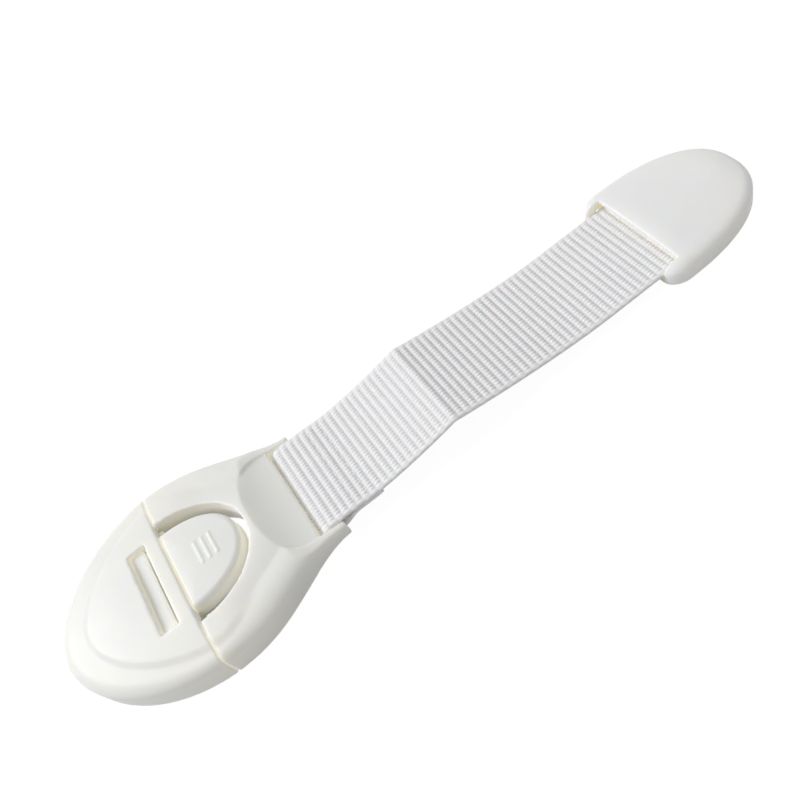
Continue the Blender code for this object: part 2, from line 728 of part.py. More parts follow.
# Button
def make_button():
    """The D-shaped press button with its arms, bosses, cross bar and press lugs."""
    button = extruded("release_button", button_outline(0.0), BUTTON_SKIRT_Z, BUTTON_TOP_Z, ABS_WHITE)
    bevel = button.modifiers.new("soft_top_edge", "BEVEL")
    bevel.width = BUTTON_EDGE
    bevel.segments = 3
    bevel.limit_method = "WEIGHT"
    weights = button.data.attributes.new("bevel_weight_edge", "FLOAT", "EDGE")
    for edge in button.data.edges:
        heights = [button.data.vertices[v].co.z for v in edge.vertices]
        if min(heights) > BUTTON_TOP_Z - FIT_GAP:
            weights.data[edge.index].value = 1.0
    hollow = extruded(
        "button_hollow",
        button_outline(BUTTON_SKIN),
        BUTTON_SKIRT_Z - CUT_PAST,
        BUTTON_TOP_Z - BUTTON_SKIN,
    )
    cut(button, hollow)
    for arm in both_sides(
        lambda label, side: side_box(
            "button_arm_" + label,
            (PIN_X, SPLIT_X + ARM_REACH),
            (ARM_INNER_Y, ARM_OUTER_Y - FIT_GAP),
            (ARM_BOTTOM_Z, ARM_TOP_Z),
            side,
        )
    ):
        join(button, arm)
    for label, side in (("left", 1.0), ("right", -1.0)):
        boss = rod(
            "arm_boss_" + label,
            (PIN_X, side * ARM_INNER_Y, PIN_Z),
            (PIN_X, side * (ARM_OUTER_Y - FIT_GAP), PIN_Z),
            BOSS_RADIUS,
            segments=32,
        )
        join(button, boss)
    low_bar = box(
        "cross_bar_low",
        (SLOT_X0 + FIT_GAP, -ARM_INNER_Y - ARM_WIDTH / 2, BAR_BOTTOM_Z),
        (BAR_X1, ARM_INNER_Y + ARM_WIDTH / 2, ARM_TOP_Z),
    )
    high_bar = box(
        "cross_bar_high",
        (SLOT_X0 + FIT_GAP, -SLOT_HALF_LENGTH + FIT_GAP, ARM_TOP_Z - LUG_THICKNESS / 2),
        (BAR_X1, SLOT_HALF_LENGTH - FIT_GAP, BAR_TOP_Z),
    )
    join(button, low_bar, high_bar)
    for lug in both_sides(
        lambda label, side: side_box(
            "press_lug_" + label,
            (LUG_X0, LUG_X0 + LUG_LENGTH),
            (ARM_INNER_Y + ARM_WIDTH / 2, LATCH_OUTER_Y),
            (LUG_BOTTOM_Z, LUG_BOTTOM_Z + LUG_THICKNESS),
            side,
        )
    ):
        join(button, lug)
    pin_hole = rod(
        "button_pin_hole",
        (PIN_X, -ARM_OUTER_Y - CUT_PAST, PIN_Z),
        (PIN_X, ARM_OUTER_Y + CUT_PAST, PIN_Z),
        PIN_RADIUS + FIT_GAP,
    )
    cut(button, pin_hole)
    return button


# Buckle
def scoop_outline(lower):
    """Side outline of what the scoop takes away, moved down to give the hollow its ceiling."""
    start = Vector((SPLIT_X + SCOOP_START, SCOOP_LEFT_Z - lower))
    line = Vector((SLOT_LINE_X, SLOT_LINE_Z - lower))
    end = Vector((TAIL_X, RAIL_END_Z - lower))
    points = []
    for index in range(9):
        share = index / 8
        sag = SCOOP_HOLLOW * 4 * share * (1 - share)
        place = start.lerp(line, share)
        points.append((place.x, place.y - sag))
    past = end + (end - line).normalized() * CUT_PAST
    points.append((past.x, past.y))
    points.append((past.x, ABOVE_ALL))
    points.append((points[0][0], ABOVE_ALL))
    return points


def make_buckle_shell():
    """The teardrop ring: window, scoop, strap slot and bar, hollow from below."""
    shell = buckle_form("buckle_shell", BUCKLE_START_X, TAIL_X, 0.0, ABS_WHITE)
    hollow = buckle_form(
        "buckle_hollow", BUCKLE_START_X + HEAD_WALL, SPLIT_X + CAVITY_END, HEAD_WALL
    )
    surround = extruded(
        "window_surround",
        window_outline(WINDOW_WALL, NOSE_TIP_X),
        -2 * CUT_PAST,
        ABOVE_ALL,
    )
    ceiling = extruded(
        "scoop_ceiling",
        scoop_outline(HEAD_WALL),
        -HEAD_HALF_WIDTH - CUT_PAST,
        HEAD_HALF_WIDTH + CUT_PAST,
        along="Y",
    )
    cut(hollow, surround, ceiling)
    window = extruded(
        "window_opening", window_outline(0.0, NOSE_TIP_X), -2 * CUT_PAST, ABOVE_ALL
    )
    scoop = extruded(
        "scoop",
        scoop_outline(0.0),
        -HEAD_HALF_WIDTH - CUT_PAST,
        HEAD_HALF_WIDTH + CUT_PAST,
        along="Y",
    )
    recess = box(
        "strap_recess",
        (SLOT_LINE_X, -RECESS_HALF_WIDTH, -CUT_PAST),
        (TAIL_X + CUT_PAST, RECESS_HALF_WIDTH, ABOVE_ALL),
    )
    cut(shell, hollow, window, scoop, recess)
    for gate in both_sides(
        lambda label, side: side_box(
            "latch_gate_" + label,
            (BUCKLE_START_X - CUT_PAST, BUCKLE_START_X + HEAD_WALL + FIT_GAP),
            (LATCH_INNER_Y - FIT_GAP, TONGUE_OUTER_Y + FIT_GAP),
            (-CUT_PAST, LATCH_TOP_Z + FIT_GAP),
            side,
        )
    ):
        cut(shell, gate)
    join(shell, make_strap_bar())
    return shell


def make_strap_bar():
    """The bar that the strap loops round, with full round edges, held by the two rails."""
    radius = STRAP_BAR_HALF
    points = []
    for index in range(9):
        turn = math.pi / 2 + math.pi * index / 8
        points.append(
            (STRAP_BAR_X0 + radius + radius * math.cos(turn), STRAP_BAR_Z + radius * math.sin(turn))
        )
    for index in range(9):
        turn = -math.pi / 2 + math.pi * index / 8
        points.append(
            (STRAP_BAR_X1 - radius + radius * math.cos(turn), STRAP_BAR_Z + radius * math.sin(turn))
        )
    half = RECESS_HALF_WIDTH + (TAIL_HALF_WIDTH - RECESS_HALF_WIDTH) / 2
    return extruded("strap_bar", points, -half, half, along="Y")


def buckle_plate_outline():
    """The inside of the buckle's wall, with a fitting clearance."""
    start_x = BUCKLE_START_X + HEAD_WALL + FIT_GAP
    end_x = SPLIT_X + CAVITY_END - FIT_GAP
    inset = HEAD_WALL + WALL_DRAFT + FIT_GAP
    far_side = []
    for step in range(15):
        x = start_x + (end_x - start_x) * step / 14
        far_side.append((x, head_half_width(x) - inset))
    near_side = [(x, -y) for x, y in far_side]
    return far_side + near_side[::-1]


def latch_peg_x():
    return SPLIT_X + LATCH_ROOT_START + LATCH_ROOT_LENGTH / 2


def make_buckle_plate():
    """The horseshoe plate that closes the ring, with guide tongues and pegs for the latch arms."""
    plate = extruded(
        "buckle_base_plate",
        buckle_plate_outline(),
        BUCKLE_PLATE_BOTTOM_Z,
        BUCKLE_PLATE_TOP_Z,
        ABS_WHITE,
    )
    surround = extruded(
        "plate_window",
        window_outline(WINDOW_WALL + FIT_GAP, NOSE_TIP_X),
        -CUT_PAST,
        ABOVE_ALL,
    )
    cut(plate, surround)
    tongue_bottom = PLATE_TOP_Z + FIT_GAP
    tongue_top = tongue_bottom + TONGUE_THICKNESS
    plate_start = BUCKLE_START_X + HEAD_WALL + FIT_GAP
    foot_end = plate_start + TONGUE_WIDTH * 2
    for label, side in (("left", 1.0), ("right", -1.0)):
        tongue = side_box(
            "guide_tongue_" + label,
            (SPLIT_X - TONGUE_LENGTH, foot_end),
            (TONGUE_INNER_Y, TONGUE_OUTER_Y),
            (tongue_bottom, tongue_top),
            side,
        )
        foot = side_box(
            "guide_foot_" + label,
            (plate_start, foot_end),
            (TONGUE_INNER_Y, TONGUE_OUTER_Y),
            (BUCKLE_PLATE_BOTTOM_Z + BUCKLE_PLATE / 2, tongue_top),
            side,
        )
        middle_y = side * (LATCH_INNER_Y + LATCH_WIDTH / 2)
        peg = rod(
            "latch_peg_" + label,
            (latch_peg_x(), middle_y, BUCKLE_PLATE_BOTTOM_Z + BUCKLE_PLATE / 2),
            (latch_peg_x(), middle_y, LATCH_TOP_Z + FIT_GAP),
            PEG_RADIUS,
            segments=16,
        )
        join(plate, tongue, foot, peg)
    return plate


def latch_outline():
    """Side outline of a latch arm: root block, springy arm and ramped tooth."""
    root_x0 = SPLIT_X + LATCH_ROOT_START
    root_x1 = root_x0 + LATCH_ROOT_LENGTH
    root_z = BUCKLE_PLATE_TOP_Z + FIT_GAP
    tooth_x1 = SPLIT_X - TOOTH_BACK
    tooth_x0 = tooth_x1 - TOOTH_TOP_LENGTH
    tip_x = SPLIT_X - LATCH_TIP
    ease = LATCH_BOTTOM_Z - root_z
    return [
        (root_x1, root_z),
        (root_x1, LATCH_TOP_Z),
        (tooth_x1, LATCH_TOP_Z),
        (tooth_x1, TOOTH_TOP_Z),
        (tooth_x0, TOOTH_TOP_Z),
        (tip_x, LATCH_TOP_Z - FIT_GAP),
        (tip_x, LATCH_BOTTOM_Z),
        (root_x0 - ease, LATCH_BOTTOM_Z),
        (root_x0, root_z),
    ]


def make_latch_arm(label, side):
    near, far = sorted((side * LATCH_INNER_Y, side * LATCH_OUTER_Y))
    arm = extruded("latch_arm_" + label, latch_outline(), near, far, ACETAL, along="Y")
    middle_y = (near + far) / 2
    hole = rod(
        "latch_peg_hole_" + label,
        (latch_peg_x(), middle_y, 0.0),
        (latch_peg_x(), middle_y, ABOVE_ALL),
        PEG_RADIUS + FIT_GAP,
        segments=16,
    )
    cut(arm, hole)
    return arm


# Strap
def strap_rise(share):
    """The middle line between the strap's low point and its crease, for a share of the way."""
    x = STRAP_LOW_X + (CREASE_X - STRAP_LOW_X) * share
    return x, STRAP_LOW_Z + (CREASE_Z - STRAP_LOW_Z) * share**STRAP_BEND


def strap_fall(share):
    """The middle line from the crease down to where the strap lies low, for a share of the way."""
    x = CREASE_X + STRAP_REST_PAST_CREASE * share
    return x, STRAP_REST_Z + (CREASE_Z - STRAP_REST_Z) * (1.0 - share) ** STRAP_BEND


def strap_guide():
    """The middle line of the strap seen from the side, from the sewn tail's end, round the
    buckle's bar, over the crease and into the end cap."""
    top_z = STRAP_BAR_Z + LOOP_RADIUS
    bottom_z = STRAP_BAR_Z - LOOP_RADIUS
    sewn_z = STRAP_LOW_Z - STRAP_THICKNESS - FIT_GAP
    join_x = STRAP_BAR_X1 + SEWN_JOIN
    guide = [
        (TAIL_X + SEWN_LENGTH, sewn_z),
        ((TAIL_X + SEWN_LENGTH + join_x) / 2, sewn_z),
        (join_x, sewn_z),
        ((STRAP_BAR_X1 + join_x) / 2, (sewn_z + bottom_z) / 2),
        (STRAP_BAR_X1, bottom_z),
    ]
    centre_x = STRAP_BAR_X0 + STRAP_BAR_HALF
    for index in range(9):
        turn = -math.pi / 2 - math.pi * index / 8
        guide.append(
            (centre_x + LOOP_RADIUS * math.cos(turn), STRAP_BAR_Z + LOOP_RADIUS * math.sin(turn))
        )
    guide.append((STRAP_BAR_X1, top_z))
    guide.append((join_x, STRAP_LOW_Z + FIT_GAP))
    for index in range(4):
        guide.append(strap_rise(index / 4))
    guide.append(strap_rise(1.0 - CREASE_ROUND / (CREASE_X - STRAP_LOW_X)))
    guide.append((CREASE_X, CREASE_Z))
    guide.append(strap_fall(CREASE_ROUND / STRAP_REST_PAST_CREASE))
    for index in range(1, 7):
        guide.append(strap_fall(index / 6))
    guide.append((CAP_FRONT_X - CAP_LEAD_IN, STRAP_REST_Z))
    guide.append((CAP_FRONT_X, (STRAP_REST_Z + STRAP_IN_CAP_Z) / 2))
    guide.append((CAP_FRONT_X + CAP_EDGE_BACK, STRAP_IN_CAP_Z))
    guide.append((CAP_FRONT_X + STRAP_IN_CAP, STRAP_IN_CAP_Z))
    return [Vector(point) for point in guide]


def smooth_path(guide, step):
    """Points on a Catmull-Rom curve through the guide, about one step apart."""
    points = []
    padded = [guide[0] * 2 - guide[1], *guide, guide[-1] * 2 - guide[-2]]
    for before, start, end, after in zip(padded, padded[1:], padded[2:], padded[3:]):
        pieces = max(1, round((end - start).length / step))
        for index in range(pieces):
            t = index / pieces
            points.append(
                0.5
                * (
                    2 * start
                    + (end - before) * t
                    + (2 * before - 5 * start + 4 * end - after) * t**2
                    + (3 * start - before - 3 * end + after) * t**3
                )
            )
    points.append(guide[-1])
    return points


def make_strap():
    """A ribbon swept along the guide, given its thickness by Solidify."""
    bm = bmesh.new()
    half = STRAP_WIDTH / 2
    rows = []
    for point in smooth_path(strap_guide(), STRAP_THICKNESS * 1.5):
        rows.append([bm.verts.new((point.x, y, point.y)) for y in (-half, 0.0, half)])
    for near, far in zip(rows, rows[1:]):
        for index in range(2):
            bm.faces.new((near[index], near[index + 1], far[index + 1], far[index]))
    strap = add_object("webbing_strap", mesh_of(bm, "webbing_strap"), WEBBING)
    solid = strap.modifiers.new("thickness", "SOLIDIFY")
    solid.thickness = STRAP_THICKNESS
    solid.offset = 0.0
    solid.use_even_offset = True
    return strap


# End cap
def cap_half_outline(inset, corner_steps=6, back_steps=16):
    """Half the cap's outline, from the middle of its front edge round to its tip."""
    front_x = CAP_FRONT_X + inset
    corner_x = CAP_FRONT_X + CAP_CORNER_LENGTH
    flat_y = CAP_FRONT_HALF_WIDTH
    points = [(front_x, flat_y * index / 4) for index in range(4)]
    for index in range(corner_steps + 1):
        turn = math.pi / 2 * index / corner_steps
        x = corner_x - (corner_x - front_x) * math.cos(turn)
        points.append((x, flat_y + (CAP_CORNER_RISE - inset) * math.sin(turn)))
    power = 2.0 / CAP_ROUNDNESS
    for index in range(1, back_steps + 1):
        turn = math.pi / 2 * (1 - index / back_steps)
        x = corner_x + (CAP_TIP_X - inset - corner_x) * math.cos(turn) ** power
        y = (CAP_HALF_WIDTH - inset) * math.sin(turn) ** power if index < back_steps else 0.0
        points.append((x, y))
    return points


def cap_outline(inset):
    half = cap_half_outline(inset)
    return half + [(x, -y) for x, y in half[1:-1]][::-1]


def cap_profile(reach, wall):
    """(inset, z) pairs of one rib of the cap. A wall above zero gives the inner skin."""
    if wall > 0.0:
        pairs = [(reach, -CUT_PAST), (wall, -CUT_PAST)]
    else:
        pairs = [(reach, RIM_Z), (CAP_RIM_RADIUS, RIM_Z), (0.0, RIM_Z + CAP_RIM_RADIUS)]
    for index in range(5):
        turn = math.pi / 2 * index / 4
        inset = WALL_DRAFT / 2 + CAP_SHOULDER_WIDTH - (CAP_SHOULDER_WIDTH - wall) * math.cos(turn)
        rise = max(CAP_SHOULDER_RISE - wall, 0.0) * math.sin(turn)
        pairs.append((inset, min(CAP_WALL_TOP_Z, CAP_WALL_TOP_Z + CAP_SHOULDER_RISE - wall) + rise))
    start, start_z = pairs[-1]
    crown = CAP_CROWN_Z - wall
    for index in range(1, 5):
        share = index / 4
        z = start_z + (crown - start_z) * (1.0 - (1.0 - share) ** 2.4)
        pairs.append((start + (reach - start) * share, z))
    return pairs


def cap_form(name, wall, material=None):
    half = cap_half_outline(0.0)
    spine_x0 = CAP_FRONT_X + CAP_SPINE_START
    spine_x1 = CAP_TIP_X - CAP_SPINE_END
    ribs = []
    for index, (x, y) in enumerate(half):
        share = index / (len(half) - 1)
        spine = (spine_x0 + (spine_x1 - spine_x0) * share, 0.0)
        reach = math.hypot(spine[0] - x, y)
        ribs.append(rib_points((x, y), spine, cap_profile(reach, wall)))
    return lofted(name, ribs, False, False, material)


def mouth_outline():
    """Side outline of the strap's way in: over the front lip, under the cover's edge, then
    the channel that holds the strap's end."""
    edge_x = CAP_FRONT_X + CAP_EDGE_BACK
    end_x = CAP_FRONT_X + STRAP_IN_CAP + FIT_GAP
    return [
        (CAP_FRONT_X - CUT_PAST, CAP_LIP_Z),
        (end_x, CAP_LIP_Z),
        (end_x, MOUTH_TOP_Z),
        (edge_x, MOUTH_TOP_Z),
        (edge_x, ABOVE_ALL),
        (CAP_FRONT_X - CUT_PAST, ABOVE_ALL),
    ]


def make_cap_cover():
    cover = cap_form("cap_cover", 0.0, ABS_WHITE)
    hollow = cap_form("cap_hollow", CAP_WALL)
    mouth_half = STRAP_WIDTH / 2 + STRAP_SIDE_GAP
    first_x = CAP_FRONT_X + CAP_EDGE_BACK + CLAMP_RIB_PITCH
    for index in range(CLAMP_RIBS):
        x = first_x + CLAMP_RIB_PITCH * index
        rib = box(
            f"clamp_rib_{index + 1}",
            (x, -CAP_FRONT_HALF_WIDTH, STRAP_IN_CAP_Z),
            (x + CLAMP_RIB_WIDTH, CAP_FRONT_HALF_WIDTH, ABOVE_ALL),
        )
        cut(hollow, rib)
    for label, side in (("left", 1.0), ("right", -1.0)):
        x = CAP_TIP_X - CAP_STAKE_FROM_TIP
        peg = rod(
            "cap_peg_" + label,
            (x, side * CAP_STAKE_Y, CAP_PLATE_TOP_Z - CAP_PLATE / 2),
            (x, side * CAP_STAKE_Y, ABOVE_ALL),
            CAP_STAKE_RADIUS,
        )
        cut(hollow, peg)
    mouth = extruded("strap_mouth", mouth_outline(), -mouth_half, mouth_half, along="Y")
    cut(cover, hollow, mouth)
    return cover


def make_cap_base():
    inset = CAP_WALL + WALL_DRAFT / 2 + FIT_GAP
    base = extruded("cap_base", cap_outline(inset), PAD_THICKNESS, CAP_PLATE_TOP_Z, ABS_WHITE)
    for label, side in (("left", 1.0), ("right", -1.0)):
        x = CAP_TIP_X - CAP_STAKE_FROM_TIP
        hole = rod(
            "cap_peg_hole_" + label,
            (x, side * CAP_STAKE_Y, 0.0),
            (x, side * CAP_STAKE_Y, ABOVE_ALL),
            CAP_STAKE_RADIUS + FIT_GAP,
        )
        cut(base, hole)
    return base


def make_cap_pad():
    inset = CAP_WALL + WALL_DRAFT / 2 + FIT_GAP + PAD_INSET
    return extruded("cap_foam_pad", cap_outline(inset), 0.0, PAD_THICKNESS, FOAM)


def shade_round(obj, angle=math.radians(32)):
    obj.data.shade_smooth()
    obj.data.set_sharp_from_angle(angle=angle)


def main():
    parts = [
        make_anchor_base(),
        make_nose_cover(),
        make_anchor_pad(),
        make_pin(),
        make_return_spring(),
        make_button(),
        make_buckle_shell(),
        make_buckle_plate(),
        *both_sides(make_latch_arm),
        make_strap(),
        make_cap_cover(),
        make_cap_base(),
        make_cap_pad(),
    ]
    for part in parts:
        shade_round(part)
    print("pieces:", ", ".join(part.name for part in parts))


main()
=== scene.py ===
# %% [markdown]
# # A child safety lock, dressed for its photograph
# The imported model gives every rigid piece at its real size. This lesson adds what a camera sees:
# soft moulded edges, satin plastic, ribbed webbing with its stitches, and studio light.

# %% Load the frame
import math

import bmesh
import bpy
from mathutils import Matrix, Vector


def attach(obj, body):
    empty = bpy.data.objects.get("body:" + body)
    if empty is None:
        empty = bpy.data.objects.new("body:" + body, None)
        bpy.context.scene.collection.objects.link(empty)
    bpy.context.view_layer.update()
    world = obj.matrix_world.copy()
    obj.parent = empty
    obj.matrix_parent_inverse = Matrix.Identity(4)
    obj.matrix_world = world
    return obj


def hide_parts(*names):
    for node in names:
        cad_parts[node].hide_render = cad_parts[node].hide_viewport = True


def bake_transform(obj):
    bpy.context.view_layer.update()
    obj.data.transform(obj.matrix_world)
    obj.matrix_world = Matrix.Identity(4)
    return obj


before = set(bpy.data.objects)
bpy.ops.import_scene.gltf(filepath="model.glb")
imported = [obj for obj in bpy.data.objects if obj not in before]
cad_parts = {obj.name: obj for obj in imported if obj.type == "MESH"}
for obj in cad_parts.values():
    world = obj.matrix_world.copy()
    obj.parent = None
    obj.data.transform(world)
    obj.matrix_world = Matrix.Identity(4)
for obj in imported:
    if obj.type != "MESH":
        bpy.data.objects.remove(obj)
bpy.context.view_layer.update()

# %% [markdown]
# ## Camera
# The lens and the camera's place were fitted to the outlines of the strap and the two ends. The
# camera looks 55 degrees down, and it is rolled so that the strap climbs to the upper right.

# %% Camera
LENS_MM, SENSOR_MM, CAMERA_DISTANCE = 35.47, 36.0, 0.17655
TARGET = Vector((0.06895, 0.00611, 0.0))
AZIMUTH, ELEVATION, ROLL = (math.radians(angle) for angle in (-7.005, 54.556, 31.89))
scene = bpy.context.scene


def new_object(name, data):
    obj = bpy.data.objects.new(name, data)
    scene.collection.objects.link(obj)
    return obj


def make_camera():
    aside, ahead, level = math.sin(AZIMUTH), math.cos(AZIMUTH), math.cos(ELEVATION)
    back = Vector((aside * level, -ahead * level, math.sin(ELEVATION)))
    right = Vector((ahead, aside, 0.0))
    turn = Matrix((right, back.cross(right), back)).transposed().to_4x4()
    camera = new_object("camera", bpy.data.cameras.new("camera"))
    camera.data.lens = LENS_MM
    camera.data.sensor_width = SENSOR_MM
    camera.data.clip_start = 0.01
    camera.data.clip_end = 10.0
    place = Matrix.Translation(TARGET + back * CAMERA_DISTANCE)
    camera.matrix_world = place @ turn @ Matrix.Rotation(-ROLL, 4, "Z")
    return camera


scene.camera = make_camera()

# %% [markdown]
# ## Node trees
# Materials and Geometry Nodes are both trees of nodes. One short helper adds a node, fills its
# sockets and joins the links, so that each tree below reads like a list of steps.


# %% A helper for every node tree
def fill(tree, node, values):
    """Sets sockets to numbers or colours, or links them to a socket or a node's first output."""
    for key, value in values.items():
        socket = node.inputs[key]
        if isinstance(value, bpy.types.Node):
            value = value.outputs[0]
        if isinstance(value, bpy.types.NodeSocket):
            tree.links.new(value, socket)
        elif socket.type == "RGBA":
            socket.default_value = (*value[:3], 1.0)
        else:
            socket.default_value = value
    return node


def add_node(tree, kind, values=None, **settings):
    node = tree.nodes.new(kind)
    for name, value in settings.items():
        setattr(node, name, value)
    return fill(tree, node, values or {})


def math_node(tree, operation, first, second=0.0):
    return add_node(tree, "ShaderNodeMath", {0: first, 1: second}, operation=operation)


def mix_colors(tree, factor, first, second):
    """A mix node, whose sockets 6 and 7 and output 2 are the ones for colours."""
    values = {0: factor, 6: first, 7: second}
    return add_node(tree, "ShaderNodeMix", values, data_type="RGBA").outputs[2]


def smooth_range(tree, values):
    return add_node(tree, "ShaderNodeMapRange", values, interpolation_type="SMOOTHSTEP")


def new_group(name, kind, inputs, outputs):
    """A group, what it is given, and its end node. A socket has a default or the name of a type."""
    group = bpy.data.node_groups.new(name, kind)
    type_names = {float: "Float", int: "Int", tuple: "Color"}
    for in_out, sockets in (("INPUT", inputs), ("OUTPUT", outputs)):
        for label, default in sockets.items():
            socket_type = "NodeSocket" + type_names.get(type(default), str(default))
            socket = group.interface.new_socket(label, in_out=in_out, socket_type=socket_type)
            if type(default) in type_names:
                socket.default_value = default
    given = group.nodes.new("NodeGroupInput").outputs
    return group, given, group.nodes.new("NodeGroupOutput")


print("node helpers ready")

# %% [markdown]
# ## Grain and painted crevice light that several materials share
# A moulded part copies the fine spark-eroded texture of its steel mould. A group turns two noises
# into a bump and a slightly changing roughness. A second group paints light into the slots and
# under the edges, which an ambient occlusion test finds: the colour turns to a warmer, mostly
# brighter painted crevice colour in place of light that has bounced many times there, and a faint
# warm painted glow stands in for light that comes through the thin ivory walls.

# %% Shader groups
# Strength of the warm painted glow that stands in for light in slots and under edges.
PAINTED_GAP_GLOW = 0.16


def make_mould_grain():
    group, given, leave = new_group(
        "mould_grain",
        "ShaderNodeTree",
        {
            "Grain Scale": 5200.0,
            "Grain Depth": 0.000012,
            "Roughness": 0.42,
            "Roughness Change": 0.08,
        },
        {"Roughness": "Float", "Normal": "Vector"},
    )
    place = add_node(group, "ShaderNodeTexCoord").outputs["Object"]
    grain = {"Vector": place, "Scale": given["Grain Scale"], "Detail": 2.0}
    fine = add_node(group, "ShaderNodeTexNoise", grain)
    broad = add_node(group, "ShaderNodeTexNoise", {"Vector": place, "Scale": 130.0, "Detail": 3.0})
    relief = {"Strength": 1.0, "Distance": given["Grain Depth"], "Height": fine}
    bump = add_node(group, "ShaderNodeBump", relief)
    swing = math_node(group, "SUBTRACT", broad, 0.5)
    swing = math_node(group, "MULTIPLY", swing, given["Roughness Change"])
    rough = math_node(group, "ADD", given["Roughness"], swing)
    fill(group, leave, {"Roughness": rough, "Normal": bump})
    return group


def make_crevice_warmth():
    group, given, leave = new_group(
        "painted_crevice_light",
        "ShaderNodeTree",
        {"Open Colour": (0.8, 0.8, 0.8, 1.0), "Painted Crevice Colour": (0.6, 0.5, 0.4, 1.0), "Reach": 0.004},
        {"Colour": "Color", "Painted Glow": "Float"},
    )
    reach = {"Distance": given["Reach"]}
    sky = add_node(group, "ShaderNodeAmbientOcclusion", reach, samples=8).outputs["AO"]
    depth = smooth_range(group, {"Value": sky, "From Min": 0.15, "From Max": 0.75})
    # Painted light: where the occlusion test finds a slot or an edge, the colour turns to the painted
    # crevice colour and a warm painted glow is added.
    colour = mix_colors(group, depth, given["Painted Crevice Colour"], given["Open Colour"])
    buried = math_node(group, "SUBTRACT", 1.0, depth)
    glow = math_node(group, "MULTIPLY", buried, PAINTED_GAP_GLOW)
    fill(group, leave, {"Colour": colour, "Painted Glow": glow})
    return group


MOULD_GRAIN = make_mould_grain()
PAINTED_CREVICE_LIGHT = make_crevice_warmth()
print("groups:", MOULD_GRAIN.name, PAINTED_CREVICE_LIGHT.name)

# %% [markdown]
# ## Plastic, steel and foam
# The covers are satin ABS of a warm ivory white. The end cap is the same plastic from another
# batch, a little cooler. The hidden arms are natural acetal, the pin and spring are drawn steel,
# and the pads are closed-cell foam tape.


# %% Materials of the rigid pieces
def new_material(name):
    material = bpy.data.materials.new(name)
    material.use_nodes = True
    return material, material.node_tree


def shade(material, values):
    """Fills the sockets of the material's Principled shader."""
    tree = material.node_tree
    fill(tree, tree.nodes["Principled BSDF"], values)
    return material


def moulded_plastic(name, open_color, painted_crevice_color, roughness):
    """Satin plastic. Light enters it and comes out about a millimetre away, warmer."""
    material, tree = new_material(name)
    grain = add_node(tree, "ShaderNodeGroup", {"Roughness": roughness}, node_tree=MOULD_GRAIN)
    colours = {"Open Colour": open_color, "Painted Crevice Colour": painted_crevice_color, "Reach": 0.0045}
    # Painted light in slots and under edges: a brighter, warmer painted crevice colour and a faint warm
    # painted glow, the emission below.
    crevice_light = add_node(tree, "ShaderNodeGroup", colours, node_tree=PAINTED_CREVICE_LIGHT)
    values = {
        "Base Color": crevice_light.outputs["Colour"],
        "Roughness": grain.outputs["Roughness"],
        "Normal": grain.outputs["Normal"],
        "IOR": 1.5,
        "Subsurface Weight": 0.8,
        "Subsurface Radius": (1.0, 0.85, 0.6),
        "Subsurface Scale": 0.0026,
        "Emission Color": (1.0, 0.93, 0.76),
        "Emission Strength": crevice_light.outputs["Painted Glow"],
    }
    return shade(material, values)


def drawn_steel(name):
    """Steel with fine lines left by the drawing die."""
    material, tree = new_material(name)
    place = add_node(tree, "ShaderNodeTexCoord").outputs["Object"]
    stretch = add_node(tree, "ShaderNodeMapping", {"Vector": place, "Scale": (9000.0, 300.0, 9000.0)})
    lines = add_node(tree, "ShaderNodeTexNoise", {"Vector": stretch, "Scale": 1.0})
    rough = add_node(tree, "ShaderNodeMapRange", {"Value": lines, "To Min": 0.2, "To Max": 0.4})
    return shade(material, {"Roughness": rough, "Base Color": (0.55, 0.55, 0.54), "Metallic": 1.0})


def foam_tape(name):
    """White foam whose cut cells show as small pits."""
    material, tree = new_material(name)
    place = add_node(tree, "ShaderNodeTexCoord").outputs["Object"]
    cells = add_node(tree, "ShaderNodeTexVoronoi", {"Vector": place, "Scale": 2600.0})
    pits = {"Strength": 0.8, "Distance": 0.00008, "Height": cells}
    bump = add_node(tree, "ShaderNodeBump", pits)
    # Painted shade: the colour is darker towards the middles of the cells, the bottoms of the pits.
    color = mix_colors(tree, cells, (0.70, 0.70, 0.68), (0.86, 0.86, 0.84))
    return shade(material, {"Base Color": color, "Normal": bump, "Roughness": 0.85})


# The second colour of each plastic is its painted crevice light, warmer and mostly brighter than its
# own colour.
IVORY = moulded_plastic("satin_ivory_abs", (0.83, 0.83, 0.80), (0.94, 0.92, 0.83), 0.42)
CAP_WHITE = moulded_plastic("satin_cap_abs", (0.90, 0.90, 0.885), (0.92, 0.87, 0.76), 0.45)
ACETAL = moulded_plastic("natural_acetal", (0.86, 0.86, 0.85), (0.92, 0.90, 0.82), 0.32)
STEEL = drawn_steel("drawn_spring_steel")
FOAM = foam_tape("closed_cell_foam")
print("materials:", [m.name for m in (IVORY, CAP_WHITE, ACETAL, STEEL, FOAM)])

# %% [markdown]
# ## Shared sizes
# The dressed shells follow the same rules as the solids, with far more ribs, so the same named
# sizes come first. All are metres, with X along the strap and Z up. Cutters reach ABOVE and BELOW
# the lock, and PAST the face that they cut.

